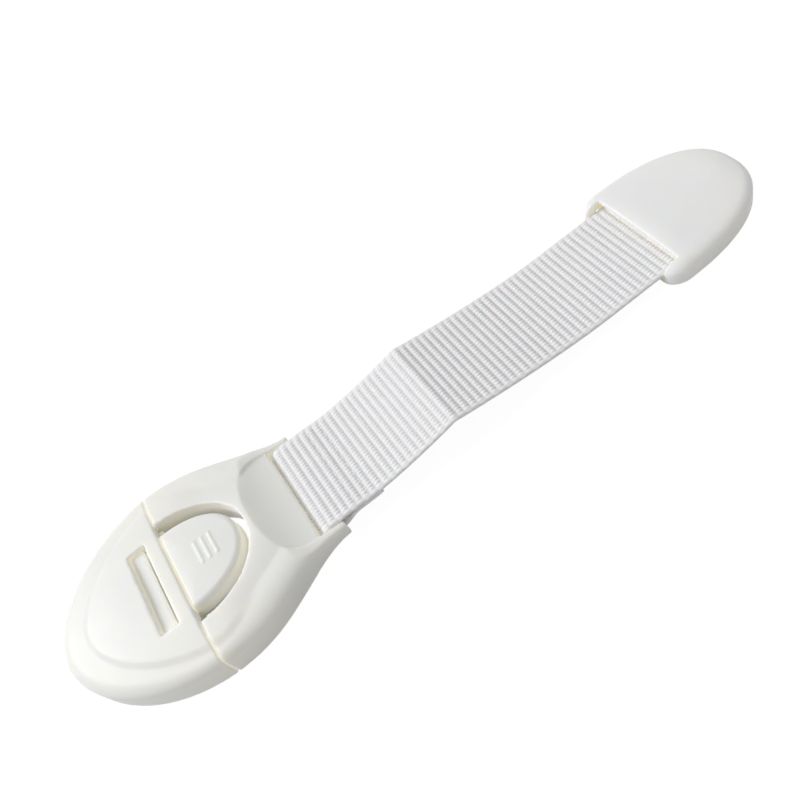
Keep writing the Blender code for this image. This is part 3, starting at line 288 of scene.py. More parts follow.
# %% Sizes of the moulded pieces
SPLIT_X, SPLIT_GAP = 0.0100, 0.0005
NOSE_TIP_X, TAIL_X = -0.0193, 0.0437
NOSE_END_X, BUCKLE_START_X = SPLIT_X - SPLIT_GAP / 2, SPLIT_X + SPLIT_GAP / 2
WIDEST_X, HEAD_HALF_WIDTH, TAIL_HALF_WIDTH = 0.0113, 0.0228, 0.01395
NOSE_ROUNDNESS, WAIST_POWER = 1.9, 1.15
RIM_Z, RIM_RADIUS = 0.0004, 0.0008
WALL, WALL_DRAFT, WALL_TOP_Z = 0.0016, 0.00025, 0.0059
SHOULDER, TIP_SHOULDER, SHOULDER_RISE = 0.0022, 0.0042, 0.0023
SHOULDER_TURN = math.radians(85)
NOSE_CROWN_Z, BUCKLE_CROWN_Z, CROWN_POWER = 0.0097, 0.0094, 2.2
LEAST_SHELF, SHELF_SLOPE, STEP_RISE, STEP_RUN = 0.0004, 0.08, 0.00062, 0.0022
STEP_FADE_START, STEP_FADE_RUN = 0.004, 0.009
SIDE_INSET, TIP_INSET = 0.0030, 0.0062
NOSE_FAN, NOSE_FAN_EASE = 0.0200, 1.6
TAIL_LIFT, TAIL_LIFT_START, TAIL_LIFT_RUN = 0.0006, 0.0189, 0.0148
RING_SHOULDER, RING_SHOULDER_RUN = 0.0050, 0.0150
ABOVE, BELOW, PAST = 0.0150, -0.0040, 0.0020
FIT = 0.0003
RIB_COUNT = 110
QUARTER_TURN = math.pi / 2


def smooth_step(value):
    value = min(max(value, 0.0), 1.0)
    return value * value * (3.0 - 2.0 * value)


def mix(start, end, share):
    return start + (end - start) * share


def shares(count, first=0):
    """The numbers from 0 to 1 in equal steps, or those after the first."""
    return [index / count for index in range(first, count + 1)]


def closed(half):
    """A whole outline from its far half."""
    return half + [(x, -y) for x, y in reversed(half) if y > 0.0]


def both_sides(inner, outer):
    """The two ranges across the strap between these distances from its middle."""
    return (inner, outer), (-outer, -inner)


def head_half_width(x):
    """Half the head's width: round to the nose's tip, an S curve down to the tail."""
    if x <= WIDEST_X:
        share = (WIDEST_X - x) / (WIDEST_X - NOSE_TIP_X)
        return HEAD_HALF_WIDTH * max(1.0 - share**NOSE_ROUNDNESS, 0.0) ** (1.0 / NOSE_ROUNDNESS)
    along = min((x - WIDEST_X) / (TAIL_X - WIDEST_X), 1.0)
    ease = (1.0 + math.cos(math.pi * along**WAIST_POWER)) / 2.0
    return mix(TAIL_HALF_WIDTH, HEAD_HALF_WIDTH, ease)


# %% [markdown]
# ## Making a shell
# Each cover is lofted between ribs that run over it from the underside to the middle line, then
# cut with plain solids. A fine voxel remesh and a little smoothing then round every edge by about
# a third of a millimetre, which is what a worn mould does and what catches the light.

# %% Loft, cutters and rounding
WELD, ROD_SIDES, SMOOTH_PASSES = 1e-7, 32, 4


def object_from(bm, name, solid=True):
    """An object from a bmesh. A solid is welded and made of triangles for the cutting."""
    if solid:
        bmesh.ops.remove_doubles(bm, verts=bm.verts, dist=WELD)
    bmesh.ops.recalc_face_normals(bm, faces=bm.faces)
    if solid:
        bmesh.ops.triangulate(bm, faces=bm.faces)
    mesh = bpy.data.meshes.new(name)
    bm.to_mesh(mesh)
    bm.free()
    return new_object(name, mesh)


def join_rows(bm, rows, is_ring=True):
    """Four-sided faces from each row of vertices to the next."""
    for near, far in zip(rows, rows[1:]):
        for index in range(len(near) if is_ring else len(near) - 1):
            after = (index + 1) % len(near)
            bm.faces.new((near[index], near[after], far[after], far[index]))


def loft(name, ribs, cap_first=False, cap_last=True):
    """Half a form between ribs on the far side, its mirror image, and flat ends."""
    bm = bmesh.new()
    for side in (1.0, -1.0):
        rows = [[bm.verts.new((x, side * y, z)) for x, y, z in rib] for rib in ribs]
        join_rows(bm, rows, is_ring=False)
        for row, wanted in ((rows[0], cap_first), (rows[-1], cap_last)):
            if wanted:
                bm.faces.new(row)
    return object_from(bm, name)


def stacked(name, rings):
    """A closed solid through outlines of equal length, one above another."""
    bm = bmesh.new()
    rows = [[bm.verts.new(point) for point in ring] for ring in rings]
    join_rows(bm, rows)
    bm.faces.new(rows[0])
    bm.faces.new(rows[-1])
    return object_from(bm, name)


def prism(name, outline, low, high):
    """An outline seen from above, given its height."""
    return stacked(name, [[(x, y, z) for x, y in outline] for z in (low, high)])


def side_prism(name, outline, half):
    """An outline seen from the side, given its width."""
    return stacked(name, [[(x, y, z) for x, z in outline] for y in (-half, half)])


def block(name, x_range, y_range, z_range):
    (x0, x1), (y0, y1) = x_range, y_range
    return prism(name, [(x0, y0), (x1, y0), (x1, y1), (x0, y1)], *z_range)


def rod(name, start, end, radius):
    bm = bmesh.new()
    start, end = Vector(start), Vector(end)
    axis = end - start
    bmesh.ops.create_cone(
        bm, cap_ends=True, segments=ROD_SIDES, radius1=radius, radius2=radius, depth=axis.length
    )
    turn = axis.to_track_quat("Z", "Y").to_matrix().to_4x4()
    bmesh.ops.transform(bm, matrix=Matrix.Translation((start + end) / 2) @ turn, verts=bm.verts)
    return object_from(bm, name)


def evaluated_mesh(obj):
    graph = bpy.context.evaluated_depsgraph_get()
    return bpy.data.meshes.new_from_object(obj.evaluated_get(graph))


def apply_modifiers(obj):
    """Puts the evaluated shape into the object's own mesh and clears its modifiers."""
    mesh = evaluated_mesh(obj)
    obj.modifiers.clear()
    obj.data = mesh
    return obj


def combine(obj, operation, others):
    """Adds, takes away or keeps what is shared with each of the other solids, and removes them."""
    for other in others:
        step = obj.modifiers.new(operation.lower(), "BOOLEAN")
        step.operation = operation
        step.object = other
        step.solver = "MANIFOLD"
    apply_modifiers(obj)
    for other in others:
        bpy.data.objects.remove(other, do_unlink=True)
    return obj


def soften(obj, voxel):
    """Voxel remesh, then smoothing, so that every edge gets a small radius."""
    remesh = obj.modifiers.new("voxels", "REMESH")
    remesh.mode = "VOXEL"
    remesh.voxel_size = voxel
    remesh.use_smooth_shade = True
    smooth = obj.modifiers.new("soft_edges", "SMOOTH")
    smooth.factor = 0.5
    smooth.iterations = SMOOTH_PASSES
    return apply_modifiers(obj)


def finish_piece(obj, material, rides, slot, *nodes):
    """Gives a piece its material and hides the nodes that it stands in for. A piece on one body is
    fixed to it; for a bend between two, its place is only baked into its mesh. The slot is not used.
    """
    obj.data.materials.clear()
    obj.data.materials.append(material)
    if isinstance(rides, str):
        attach(obj, rides)
    else:
        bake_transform(obj)
    if nodes:
        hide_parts(*nodes)
    print(obj.name, len(obj.data.polygons), "faces")


print("shell tools ready")

# %% [markdown]
# ## The nose's and the ring's skins
# From the rim up, a rib has a drafted wall, a rounded shoulder, a nearly flat shelf, a small soft
# step up to the raised platform, and a low crown. At the tip the shoulder and the shelf are wider.


# %% Ribs of the head
def rib_foot(reach, wall, rim, radius):
    """(inset, height) pairs: a rounded rim outside, a plain wall inside."""
    if wall > 0.0:
        return [(reach, BELOW), (wall, BELOW)]
    pairs = [(reach, rim)]
    for turn in (QUARTER_TURN * share for share in shares(4)):
        pairs.append((radius * (1 - math.sin(turn)), rim + radius * (1 - math.cos(turn))))
    return pairs


def with_crown(pairs, reach, top_z, power):
    """The pairs of a rib and a low crown from the last of them to the middle line."""
    start, start_z = pairs[-1]
    crown = []
    for share in shares(14, 1):
        rise = max(top_z - start_z, 0.0) * (1.0 - (1.0 - share) ** power)
        crown.append((mix(start, reach, share), start_z + rise))
    return pairs + crown


def skin_profile(reach, wall, crown, shoulder, inset, step, rim=RIM_Z):
    """(inset, height) pairs of one rib. A wall above zero gives the inner skin."""
    pairs = rib_foot(reach, wall, rim, RIM_RADIUS)
    for turn in (SHOULDER_TURN * share for share in shares(12)):
        foot = WALL_DRAFT + shoulder - (shoulder - wall) * math.cos(turn)
        pairs.append((foot, WALL_TOP_Z + (SHOULDER_RISE - wall) * math.sin(turn)))
    shelf, shelf_z = pairs[-1]
    inset = max(min(inset, reach - 1.3 * STEP_RUN), shelf + LEAST_SHELF)
    edge_z = shelf_z + SHELF_SLOPE * (inset - shelf)
    pairs += [(mix(shelf, inset, share), mix(shelf_z, edge_z, share)) for share in shares(3, 1)]
    pairs += [(inset + STEP_RUN * s, edge_z + step * smooth_step(s)) for s in shares(8, 1)]
    return with_crown(pairs, reach, crown - wall, CROWN_POWER)


def rib_points(foot, spine_x, pairs):
    direction = (Vector((spine_x, 0.0)) - Vector(foot)).normalized()
    points = []
    for inset, z in pairs:
        place = Vector(foot) + direction * inset
        points.append((place.x, max(place.y, 0.0), z))
    points[0] = (spine_x, 0.0, points[0][2])
    points[-1] = (spine_x, 0.0, points[-1][2])
    return points


def nose_feet(count):
    """Where each rib of the nose starts on the outline, and where it ends on the middle line."""
    power = 2.0 / NOSE_ROUNDNESS
    span = WIDEST_X - NOSE_TIP_X
    last = math.acos(((WIDEST_X - NOSE_END_X) / span) ** (1.0 / power))
    for share in shares(count):
        x = WIDEST_X - span * math.cos(last * share) ** power
        y = HEAD_HALF_WIDTH * math.sin(last * share) ** power
        yield x, y, mix(NOSE_TIP_X + NOSE_FAN, NOSE_END_X, share**NOSE_FAN_EASE)


def nose_form(name, wall):
    ribs = []
    for x, y, spine_x in nose_feet(RIB_COUNT):
        ahead = (NOSE_END_X - x) / (NOSE_END_X - NOSE_TIP_X)
        reach = math.hypot(spine_x - x, y)
        shoulder = mix(SHOULDER, TIP_SHOULDER, ahead)
        inset = mix(SIDE_INSET, TIP_INSET, ahead)
        pairs = skin_profile(reach, wall, NOSE_CROWN_Z, shoulder, inset, STEP_RISE)
        ribs.append(rib_points((x, y), spine_x, pairs))
    if wall > 0.0:
        ribs.append([(x + PAST, y, z) for x, y, z in ribs[-1]])
    return loft(name, ribs)


def ring_form(name, start_x, end_x, wall):
    ribs = []
    for x in (mix(start_x, end_x, share) for share in shares(RIB_COUNT)):
        past = x - SPLIT_X
        half = head_half_width(x)
        step = STEP_RISE * (1.0 - smooth_step((past - STEP_FADE_START) / STEP_FADE_RUN))
        rim = RIM_Z + TAIL_LIFT * smooth_step((past - TAIL_LIFT_START) / TAIL_LIFT_RUN)
        shoulder = mix(SHOULDER, RING_SHOULDER, smooth_step(past / RING_SHOULDER_RUN))
        pairs = skin_profile(half, wall, BUCKLE_CROWN_Z, shoulder, SIDE_INSET, step, rim)
        ribs.append(rib_points((x, half), x, pairs))
    return loft(name, ribs, cap_first=True)


print("rib rules ready")

# %% [markdown]
# ## Nose cover
# The real nose is one moulding with a cross slot. Through the slot shows the pale cross bar that
# joins the button's arms, beside a small ledge. The hollow keeps the slot's collar, the two catch
# ribs and the three locating pegs of the solid.

# %% Nose cover
SLOT_X0, SLOT_X1, SLOT_HALF = 0.0021, 0.0066, 0.0104
LIP_X0, LIP_X1, LIP_DROP = 0.0085, 0.01003, 0.0005
LEDGE_X, LEDGE_Z, COLLAR_END_X, COLLAR_Z, COLLAR_WALL = 0.0058, 0.0078, 0.0140, 0.0070, 0.0014
RIB_X0, RIB_X1, RIB_BOTTOM_Z = 0.0038, 0.0050, 0.0052
LATCH_INNER_Y, LATCH_OUTER_Y, TONGUE_OUTER_Y = 0.0148, 0.0174, 0.0196
PLATE_TOP_Z, PEG_RADIUS = 0.0021, 0.0012
PEG_PLACES = ((-0.0135, 0.0), (-0.0095, 0.0085), (-0.0095, -0.0085))
NOSE_VOXEL = 0.00021


def make_lip():
    """A step just below the skin that closes most of the split, so that it shows as a groove."""
    ribs = []
    for x in (LIP_X0, (LIP_X0 + LIP_X1) / 2, LIP_X1):
        half = head_half_width(x)
        pairs = skin_profile(half, 0.0, NOSE_CROWN_Z, SHOULDER, SIDE_INSET, STEP_RISE)
        pairs = [(min(inset + LIP_DROP, half), max(z - LIP_DROP, RIM_Z)) for inset, z in pairs]
        ribs.append(rib_points((x, half), x, pairs))
    return loft("lip", ribs, cap_first=True)


def make_nose():
    nose = combine(nose_form("nose_shell", 0.0), "UNION", [make_lip()])
    half = SLOT_HALF + COLLAR_WALL
    kept = [block("collar", (SLOT_X0 - COLLAR_WALL, COLLAR_END_X), (-half, half), (COLLAR_Z, ABOVE))]
    for across in both_sides(LATCH_INNER_Y - FIT, LATCH_OUTER_Y + FIT):
        kept.append(block("catch_rib", (RIB_X0, RIB_X1), across, (RIB_BOTTOM_Z, ABOVE)))
    for place in PEG_PLACES:
        kept.append(rod("peg", (*place, PLATE_TOP_Z + FIT), (*place, ABOVE), PEG_RADIUS))
    hollow = combine(nose_form("hollow", WALL), "DIFFERENCE", kept)
    low_z = COLLAR_Z - PAST
    outline = [(SLOT_X0, ABOVE), (SLOT_X0, low_z), (LEDGE_X, low_z), (LEDGE_X, LEDGE_Z)]
    slot = side_prism("slot", [*outline, (SLOT_X1, LEDGE_Z), (SLOT_X1, ABOVE)], SLOT_HALF)
    return soften(combine(nose, "DIFFERENCE", [hollow, slot]), NOSE_VOXEL)


finish_piece(make_nose(), IVORY, "anchor", "abs_white", "nose_cover")

# %% [markdown]
# ## Buckle ring
# The teardrop ring has a D-shaped window, a thumb scoop with a round end, and the recess and bar
# that carry the strap. The scoop is deeper between the two rails than on them.

# %% Buckle ring
WINDOW_HALF, WINDOW_START, WINDOW_LENGTH, WINDOW_WALL = 0.0130, 0.0005, 0.0170, 0.0014
SLOT_LINE_X, CAVITY_END_X, RECESS_HALF = 0.0382, 0.0332, 0.01255
SCOOP_X, SCOOP_Z, SLOT_LINE_Z, RAIL_END_Z = 0.0287, 0.0094, 0.0058, 0.0051
RAIL_SCOOP_X, RAIL_SCOOP_Z, RAIL_SAG = 0.0290, 0.0094, 0.0008
DISH_HALF, DISH_SAG, LOBE_BACK, LOBE_ROUND, LOBE_LENGTH = 0.0129, 0.0006, 0.0010, 0.0015, 0.0085
LOBE_POWER, SCOOP_CUT_HALF = 2.3, 0.03
BAR_X0, BAR_X1, BAR_HALF, BAR_Z, BAR_ROOT = 0.0403, 0.0433, 0.0007, 0.00355, 0.0007
LATCH_TOP_Z = 0.0047
RING_VOXEL = 0.00024


def d_outline(flat_x, round_x, length, half_width, power=2.0, steps=60):
    """A D with its flat side at flat_x, straight to round_x, then round to its tip."""
    far_side = [(flat_x, half_width)] if flat_x < round_x else []
    for share in shares(steps):
        turn = QUARTER_TURN * share
        x = round_x + length * math.sin(turn) ** (2.0 / power)
        far_side.append((x, half_width * math.cos(turn) ** (2.0 / power) if share < 1.0 else 0.0))
    return closed(far_side)


def side_cut(name, start, end, sag, drop=0.0):
    """What a sloping, slightly hollow cut takes away, as far as the tail and past it."""
    points = []
    for share in shares(12):
        z = mix(start[1], end[1], share) - sag * 4 * share * (1 - share) - drop
        points.append((mix(start[0], end[0], share), z))
    if end[0] < TAIL_X:
        points.append((TAIL_X + PAST, RAIL_END_Z - drop))
    points += [(points[-1][0], ABOVE), (points[0][0], ABOVE)]
    return side_prism(name, points, SCOOP_CUT_HALF)


def make_bar():
    ends = []
    for index in range(33):
        turn = QUARTER_TURN + 2 * math.pi * index / 33
        centre = BAR_X0 + BAR_HALF if math.cos(turn) < 0 else BAR_X1 - BAR_HALF
        ends.append((centre + BAR_HALF * math.cos(turn), BAR_Z + BAR_HALF * math.sin(turn)))
    return side_prism("bar", ends, RECESS_HALF + BAR_ROOT)


def make_ring():
    ring = ring_form("buckle_ring", BUCKLE_START_X, TAIL_X, 0.0)
    round_x = SPLIT_X + WINDOW_START
    half, length = WINDOW_HALF + WINDOW_WALL, WINDOW_LENGTH + WINDOW_WALL
    around = prism("around", d_outline(NOSE_TIP_X, round_x, length, half), BELOW - PAST, ABOVE)
    scoop = (SCOOP_X, SCOOP_Z), (SLOT_LINE_X, SLOT_LINE_Z), DISH_SAG
    hollow = ring_form("hollow", BUCKLE_START_X + WALL, CAVITY_END_X, WALL)
    combine(hollow, "DIFFERENCE", [around, side_cut("ceiling", *scoop, WALL)])
    window = d_outline(NOSE_TIP_X, round_x, WINDOW_LENGTH, WINDOW_HALF)
    lobe = d_outline(
        SLOT_LINE_X - LOBE_BACK, SLOT_LINE_X + LOBE_ROUND, LOBE_LENGTH, DISH_HALF, LOBE_POWER
    )
    lobe = prism("lobe", [(2 * SLOT_LINE_X - x, y) for x, y in lobe], BELOW, ABOVE)
    recess_x = (SLOT_LINE_X, TAIL_X + PAST)
    cuts = [
        hollow,
        prism("window", window, BELOW, ABOVE),
        side_cut("rails", (RAIL_SCOOP_X, RAIL_SCOOP_Z), (TAIL_X + 0.001, RAIL_END_Z), RAIL_SAG),
        combine(side_cut("dish", *scoop), "INTERSECT", [lobe]),
        block("recess", recess_x, (-RECESS_HALF, RECESS_HALF), (BELOW, ABOVE)),
    ]
    gate_x = (BUCKLE_START_X - PAST, BUCKLE_START_X + WALL + FIT)
    for across in both_sides(LATCH_INNER_Y - FIT, TONGUE_OUTER_Y + FIT):
        cuts.append(block("gate", gate_x, across, (BELOW, LATCH_TOP_Z + FIT)))
    combine(ring, "DIFFERENCE", cuts)
    return soften(combine(ring, "UNION", [make_bar()]), RING_VOXEL)


finish_piece(make_ring(), IVORY, "buckle", "abs_white", "buckle_shell")

# %% [markdown]
# ## Press button
# The button's cap is a D with a nearly flat, slightly crowned top and a generous round edge, so
# that a thumb finds it. Its skin is lofted from D outlines, each a little smaller and higher than
# the last. Three short ridges give grip. The arms, bosses, cross bar and lugs are as in the solid.

# %% Button
BUTTON_LEFT_X, BUTTON_TIP_X, BUTTON_HALF, BUTTON_POWER = 0.0102, 0.0255, 0.0100, 2.2
BUTTON_SKIRT_Z, BUTTON_TOP_Z, BUTTON_SKIN = 0.0048, 0.0095, 0.0016
BUTTON_ROUND, BUTTON_FLAT_ROUND, BUTTON_CROWN = 0.0012, 0.0004, 0.00015
CROWN_INSET, CROWN_FLAT_INSET = 0.0090, 0.0050
PIN_X, PIN_Z, PIN_RADIUS, BOSS_RADIUS, HOLE_HALF = -0.0030, 0.0046, 0.0010, 0.0020, 0.012
ARM_END_X, ARM_INNER_Y, ARM_OUTER_Y, ARM_BOTTOM_Z, ARM_TOP_Z = 0.0130, 0.0086, 0.0097, 0.0044, 0.0067
BAR_START_X, BAR_END_X, BAR_EDGE_Y = 0.0022, 0.00542, 0.01028
BAR_LOW_Z, BAR_STEP_Z, BAR_HIGH_Z = 0.0056, 0.0061, 0.0080
LUG_X, LUG_LENGTH, LUG_START_Y, LUG_Z, LUG_THICKNESS = 0.0015, 0.0016, 0.0093, 0.0050, 0.0012
GRIP_PLACES, GRIP_HALF_LENGTH, GRIP_RADIUS, GRIP_RISE = (0.0162, 0.0180, 0.0198), 0.0028, 0.0004, 0.0002
BUTTON_VOXEL = 0.00013


def button_ring(inset, flat_inset, z):
    left_x = BUTTON_LEFT_X + flat_inset
    length, half = BUTTON_TIP_X - inset - left_x, BUTTON_HALF - inset
    return [(x, y, z) for x, y in d_outline(left_x, left_x, length, half, BUTTON_POWER, 48)]


def button_cap():
    rings = [button_ring(0.0, 0.0, BUTTON_SKIRT_Z)]
    edge_z = BUTTON_TOP_Z - BUTTON_CROWN
    for turn in (QUARTER_TURN * share for share in shares(12)):
        back, z = 1.0 - math.cos(turn), edge_z - BUTTON_ROUND * (1.0 - math.sin(turn))
        rings.append(button_ring(BUTTON_ROUND * back, BUTTON_FLAT_ROUND * back, z))
    for share in shares(8, 1):
        inset = mix(BUTTON_ROUND, CROWN_INSET, share)
        flat_inset = mix(BUTTON_FLAT_ROUND, CROWN_FLAT_INSET, share)
        rings.append(button_ring(inset, flat_inset, edge_z + BUTTON_CROWN * (1 - (1 - share) ** 2)))
    inner = [(x, y) for x, y, z in button_ring(BUTTON_SKIN, BUTTON_SKIN, 0.0)]
    hollow = prism("hollow", inner, BELOW, edge_z - BUTTON_SKIN)
    return combine(stacked("press_button", rings), "DIFFERENCE", [hollow])


def make_button():
    bar_x = (BAR_START_X, BAR_END_X)
    added = [
        block("bar", bar_x, (-LUG_START_Y, LUG_START_Y), (BAR_LOW_Z, ARM_TOP_Z)),
        block("high_bar", bar_x, (-BAR_EDGE_Y, BAR_EDGE_Y), (BAR_STEP_Z, BAR_HIGH_Z)),
    ]
    for across in both_sides(ARM_INNER_Y, ARM_OUTER_Y):
        added.append(block("arm", (PIN_X, ARM_END_X), across, (ARM_BOTTOM_Z, ARM_TOP_Z)))
        added.append(rod("boss", *((PIN_X, y, PIN_Z) for y in across), BOSS_RADIUS))
    for across in both_sides(LUG_START_Y, LATCH_OUTER_Y):
        lug_x, lug_z = (LUG_X, LUG_X + LUG_LENGTH), (LUG_Z, LUG_Z + LUG_THICKNESS)
        added.append(block("lug", lug_x, across, lug_z))
    flatten = Matrix.Diagonal((1.0, 1.0, GRIP_RISE / GRIP_RADIUS, 1.0))
    for x in GRIP_PLACES:
        grip = rod("grip", (x, -GRIP_HALF_LENGTH, 0.0), (x, GRIP_HALF_LENGTH, 0.0), GRIP_RADIUS)
        grip.data.transform(Matrix.Translation((0.0, 0.0, BUTTON_TOP_Z)) @ flatten)
        added.append(grip)
    button = combine(button_cap(), "UNION", added)
    hole = rod("hole", (PIN_X, -HOLE_HALF, PIN_Z), (PIN_X, HOLE_HALF, PIN_Z), PIN_RADIUS + FIT)
    return soften(combine(button, "DIFFERENCE", [hole]), BUTTON_VOXEL)


finish_piece(make_button(), IVORY, "button", "abs_white", "release_button")

# %% [markdown]
# ## Return spring
# A torsion spring of drawn wire is wound round the button's pin. One leg lies on the plate. The
# other reaches under the cross bar and bends down with it when the button is pressed.

# %% Return spring
WIRE_RADIUS, COIL_RADIUS, COIL_PITCH = 0.00025, 0.0018, 0.0007
COIL_TURNS, COIL_STEPS = 4, 32
LEG_TIP = Vector((0.00435, 0.0021, 0.00505))
SPRING_BEND = ("anchor", "button", (-0.0008, 0.0, 0.004), (0.0025, 0.0, 0.004))


def spring_points():
    """The middle of the wire: a leg on the plate, the coil, and a leg up to the cross bar."""
    floor_z = PLATE_TOP_Z + FIT + WIRE_RADIUS
    start_y = -COIL_TURNS * COIL_PITCH / 2
    points = [Vector((PIN_X - share * COIL_RADIUS, start_y, floor_z)) for share in (3.0, 1.5, 0.5)]
    for index in range(1, COIL_TURNS * COIL_STEPS + 1):
        turn = -QUARTER_TURN - 2 * math.pi * index / COIL_STEPS
        x = PIN_X + COIL_RADIUS * math.cos(turn)
        y = start_y + COIL_PITCH * index / COIL_STEPS
        points.append(Vector((x, y, PIN_Z + COIL_RADIUS * math.sin(turn))))
    foot = points[-1] + Vector((1.6 * COIL_RADIUS, COIL_PITCH / 2, 0.0))
    return points + [foot.lerp(LEG_TIP, share) for share in shares(8)]


def make_return_spring():
    curve = bpy.data.curves.new("spring_wire", "CURVE")
    curve.dimensions = "3D"
    curve.bevel_depth = WIRE_RADIUS
    curve.bevel_resolution = 2
    curve.use_fill_caps = True
    points = spring_points()
    spline = curve.splines.new("POLY")
    spline.points.add(len(points) - 1)
    for point, place in zip(spline.points, points):
        point.co = (*place, 1.0)
    wire = new_object("spring_wire", curve)
    bm = bmesh.new()
    bm.from_mesh(evaluated_mesh(wire))
    bpy.data.objects.remove(wire, do_unlink=True)
    bmesh.ops.remove_doubles(bm, verts=bm.verts, dist=WELD)
    spring = object_from(bm, "return_spring", solid=False)
    spring.data.shade_smooth()
    return spring


finish_piece(make_return_spring(), STEEL, SPRING_BEND, "spring_steel", "button_return_spring")

# %% [markdown]
# ## End cap
# The cap is a rounded triangle with straight sides, a nearly flat top and a soft shoulder. Its
# straight front edge hangs over the strap. The hollow keeps the clamp ribs and the two pegs.

# %% End cap
CAP_FRONT_X, CAP_TIP_X, CHEEK_END_X = 0.1287, 0.1609, 0.1317
CAP_HALF, CAP_CORNER_RISE, CAP_CORNER_LENGTH, CAP_ROUNDNESS = 0.0157, 0.0036, 0.0045, 2.35
CAP_FLAT_Y = CAP_HALF - CAP_CORNER_RISE
CAP_WALL, CAP_WALL_TOP_Z, CAP_RIM_RADIUS, CAP_DRAFT = 0.0012, 0.0034, 0.0005, 0.000125
CAP_SHOULDER, CAP_SHOULDER_RISE, CAP_CROWN_Z, CAP_CROWN_POWER = 0.0030, 0.0023, 0.0064, 2.4
CAP_SHOULDER_TURN = math.radians(80)
CAP_SPINE, CAP_EDGE_BACK, CAP_LIP_Z, MOUTH_TOP_Z, STRAP_IN_CAP = 0.0075, 0.0040, 0.0017, 0.0040, 0.0146
CLAMP_RIBS, CLAMP_PITCH, CLAMP_WIDTH, CLAMP_Z = 3, 0.0028, 0.0010, 0.0029
CAP_PEG_RADIUS, CAP_PEG_FROM_TIP, CAP_PEG_Y, CAP_PEG_Z = 0.0011, 0.0095, 0.0045, 0.00145
STRAP_HALF, STRAP_THICKNESS = 0.01225, 0.0010
CAP_VOXEL = 0.00018


def cap_half_outline(inset, corner_steps=14, back_steps=60, start_x=CAP_FRONT_X):
    """Half the cap's outline, from the middle of its front edge round to its tip."""
    front_x, corner_x = start_x + inset, start_x + CAP_CORNER_LENGTH
    points = [(front_x, CAP_FLAT_Y * share) for share in shares(12)[:-1]]
    for turn in (QUARTER_TURN * share for share in shares(corner_steps)):
        x = corner_x - (corner_x - front_x) * math.cos(turn)
        points.append((x, CAP_FLAT_Y + (CAP_CORNER_RISE - inset) * math.sin(turn)))
    power = 2.0 / CAP_ROUNDNESS
    for share in shares(back_steps, 1):
        turn = QUARTER_TURN * (1 - share)
        x = corner_x + (CAP_TIP_X - inset - corner_x) * math.cos(turn) ** power
        points.append((x, (CAP_HALF - inset) * math.sin(turn) ** power if share < 1.0 else 0.0))
    return points


def cap_profile(reach, wall):
    pairs = rib_foot(reach, wall, RIM_Z, CAP_RIM_RADIUS)
    for turn in (CAP_SHOULDER_TURN * share for share in shares(12)):
        inset = CAP_DRAFT + CAP_SHOULDER - (CAP_SHOULDER - wall) * math.cos(turn)
        pairs.append((inset, CAP_WALL_TOP_Z + (CAP_SHOULDER_RISE - wall) * math.sin(turn)))
    return with_crown(pairs, reach, CAP_CROWN_Z - wall, CAP_CROWN_POWER)


def cap_form(name, wall):
    half = cap_half_outline(0.0)
    ribs = []
    for (x, y), share in zip(half, shares(len(half) - 1)):
        spine_x = mix(CAP_FRONT_X + CAP_SPINE, CAP_TIP_X - CAP_SPINE, share)
        reach = math.hypot(spine_x - x, y)
        ribs.append(rib_points((x, y), spine_x, cap_profile(reach, wall)))
    return loft(name, ribs, cap_last=False)


def make_cap():
    start_x, end_x = CAP_FRONT_X - PAST, CAP_FRONT_X + STRAP_IN_CAP + FIT
    edge_x = CAP_FRONT_X + CAP_EDGE_BACK
    kept = [block("cheeks", (start_x, CHEEK_END_X), (-CAP_HALF, CAP_HALF), (BELOW - PAST, ABOVE))]
    for index in range(CLAMP_RIBS):
        x = edge_x + CLAMP_PITCH * (index + 1)
        kept.append(block("rib", (x, x + CLAMP_WIDTH), (-CAP_FLAT_Y, CAP_FLAT_Y), (CLAMP_Z, ABOVE)))
    for y in (CAP_PEG_Y, -CAP_PEG_Y):
        place = (CAP_TIP_X - CAP_PEG_FROM_TIP, y)
        kept.append(rod("peg", (*place, CAP_PEG_Z), (*place, ABOVE), CAP_PEG_RADIUS))
    hollow = combine(cap_form("hollow", CAP_WALL), "DIFFERENCE", kept)
    outline = [(start_x, ABOVE), (start_x, CAP_LIP_Z), (end_x, CAP_LIP_Z)]
    outline += [(end_x, MOUTH_TOP_Z), (edge_x, MOUTH_TOP_Z), (edge_x, ABOVE)]
    mouth = side_prism("mouth", outline, STRAP_HALF + FIT / 3)
    return soften(combine(cap_form("end_cap_shell", 0.0), "DIFFERENCE", [hollow, mouth]), CAP_VOXEL)


finish_piece(make_cap(), CAP_WHITE, "end_cap", "abs_white", "cap_cover")

# %% [markdown]
# ## Foam pads
# The two adhesive pads are die-cut from foam tape, so their edges are a little squeezed by the
# knife and bulge at half height. They are lofted from the plates' outlines, moved in.

# %% Foam pads
PAD_THICKNESS, PAD_INSET, PAD_SQUEEZE, PAD_FILL = 0.0008, 0.0010, 0.00018, 0.9
CAP_PLATE_X, TONGUE_INSET, TONGUE_SHORTER, LEAST_STEP = 0.1303, 0.0010, 0.0060, 0.0002


def foam_pad(name, outline, body, node):
    """A flat pad through nine levels of the same outline, narrowest at its two faces."""
    middle = Vector((sum(x for x, y in outline) / len(outline), 0.0))
    rings = []
    for share in shares(8):
        squeeze = PAD_SQUEEZE * (2 * share - 1) ** 2
        ring = []
        for away in (Vector(point) - middle for point in outline):
            place = middle + away * (1.0 - squeeze / away.length)
            ring.append((place.x, place.y, PAD_THICKNESS * share))
        rings.append(ring)
    pad = stacked(name, rings)
    finish_piece(pad, FOAM, body, "foam_tape", node)


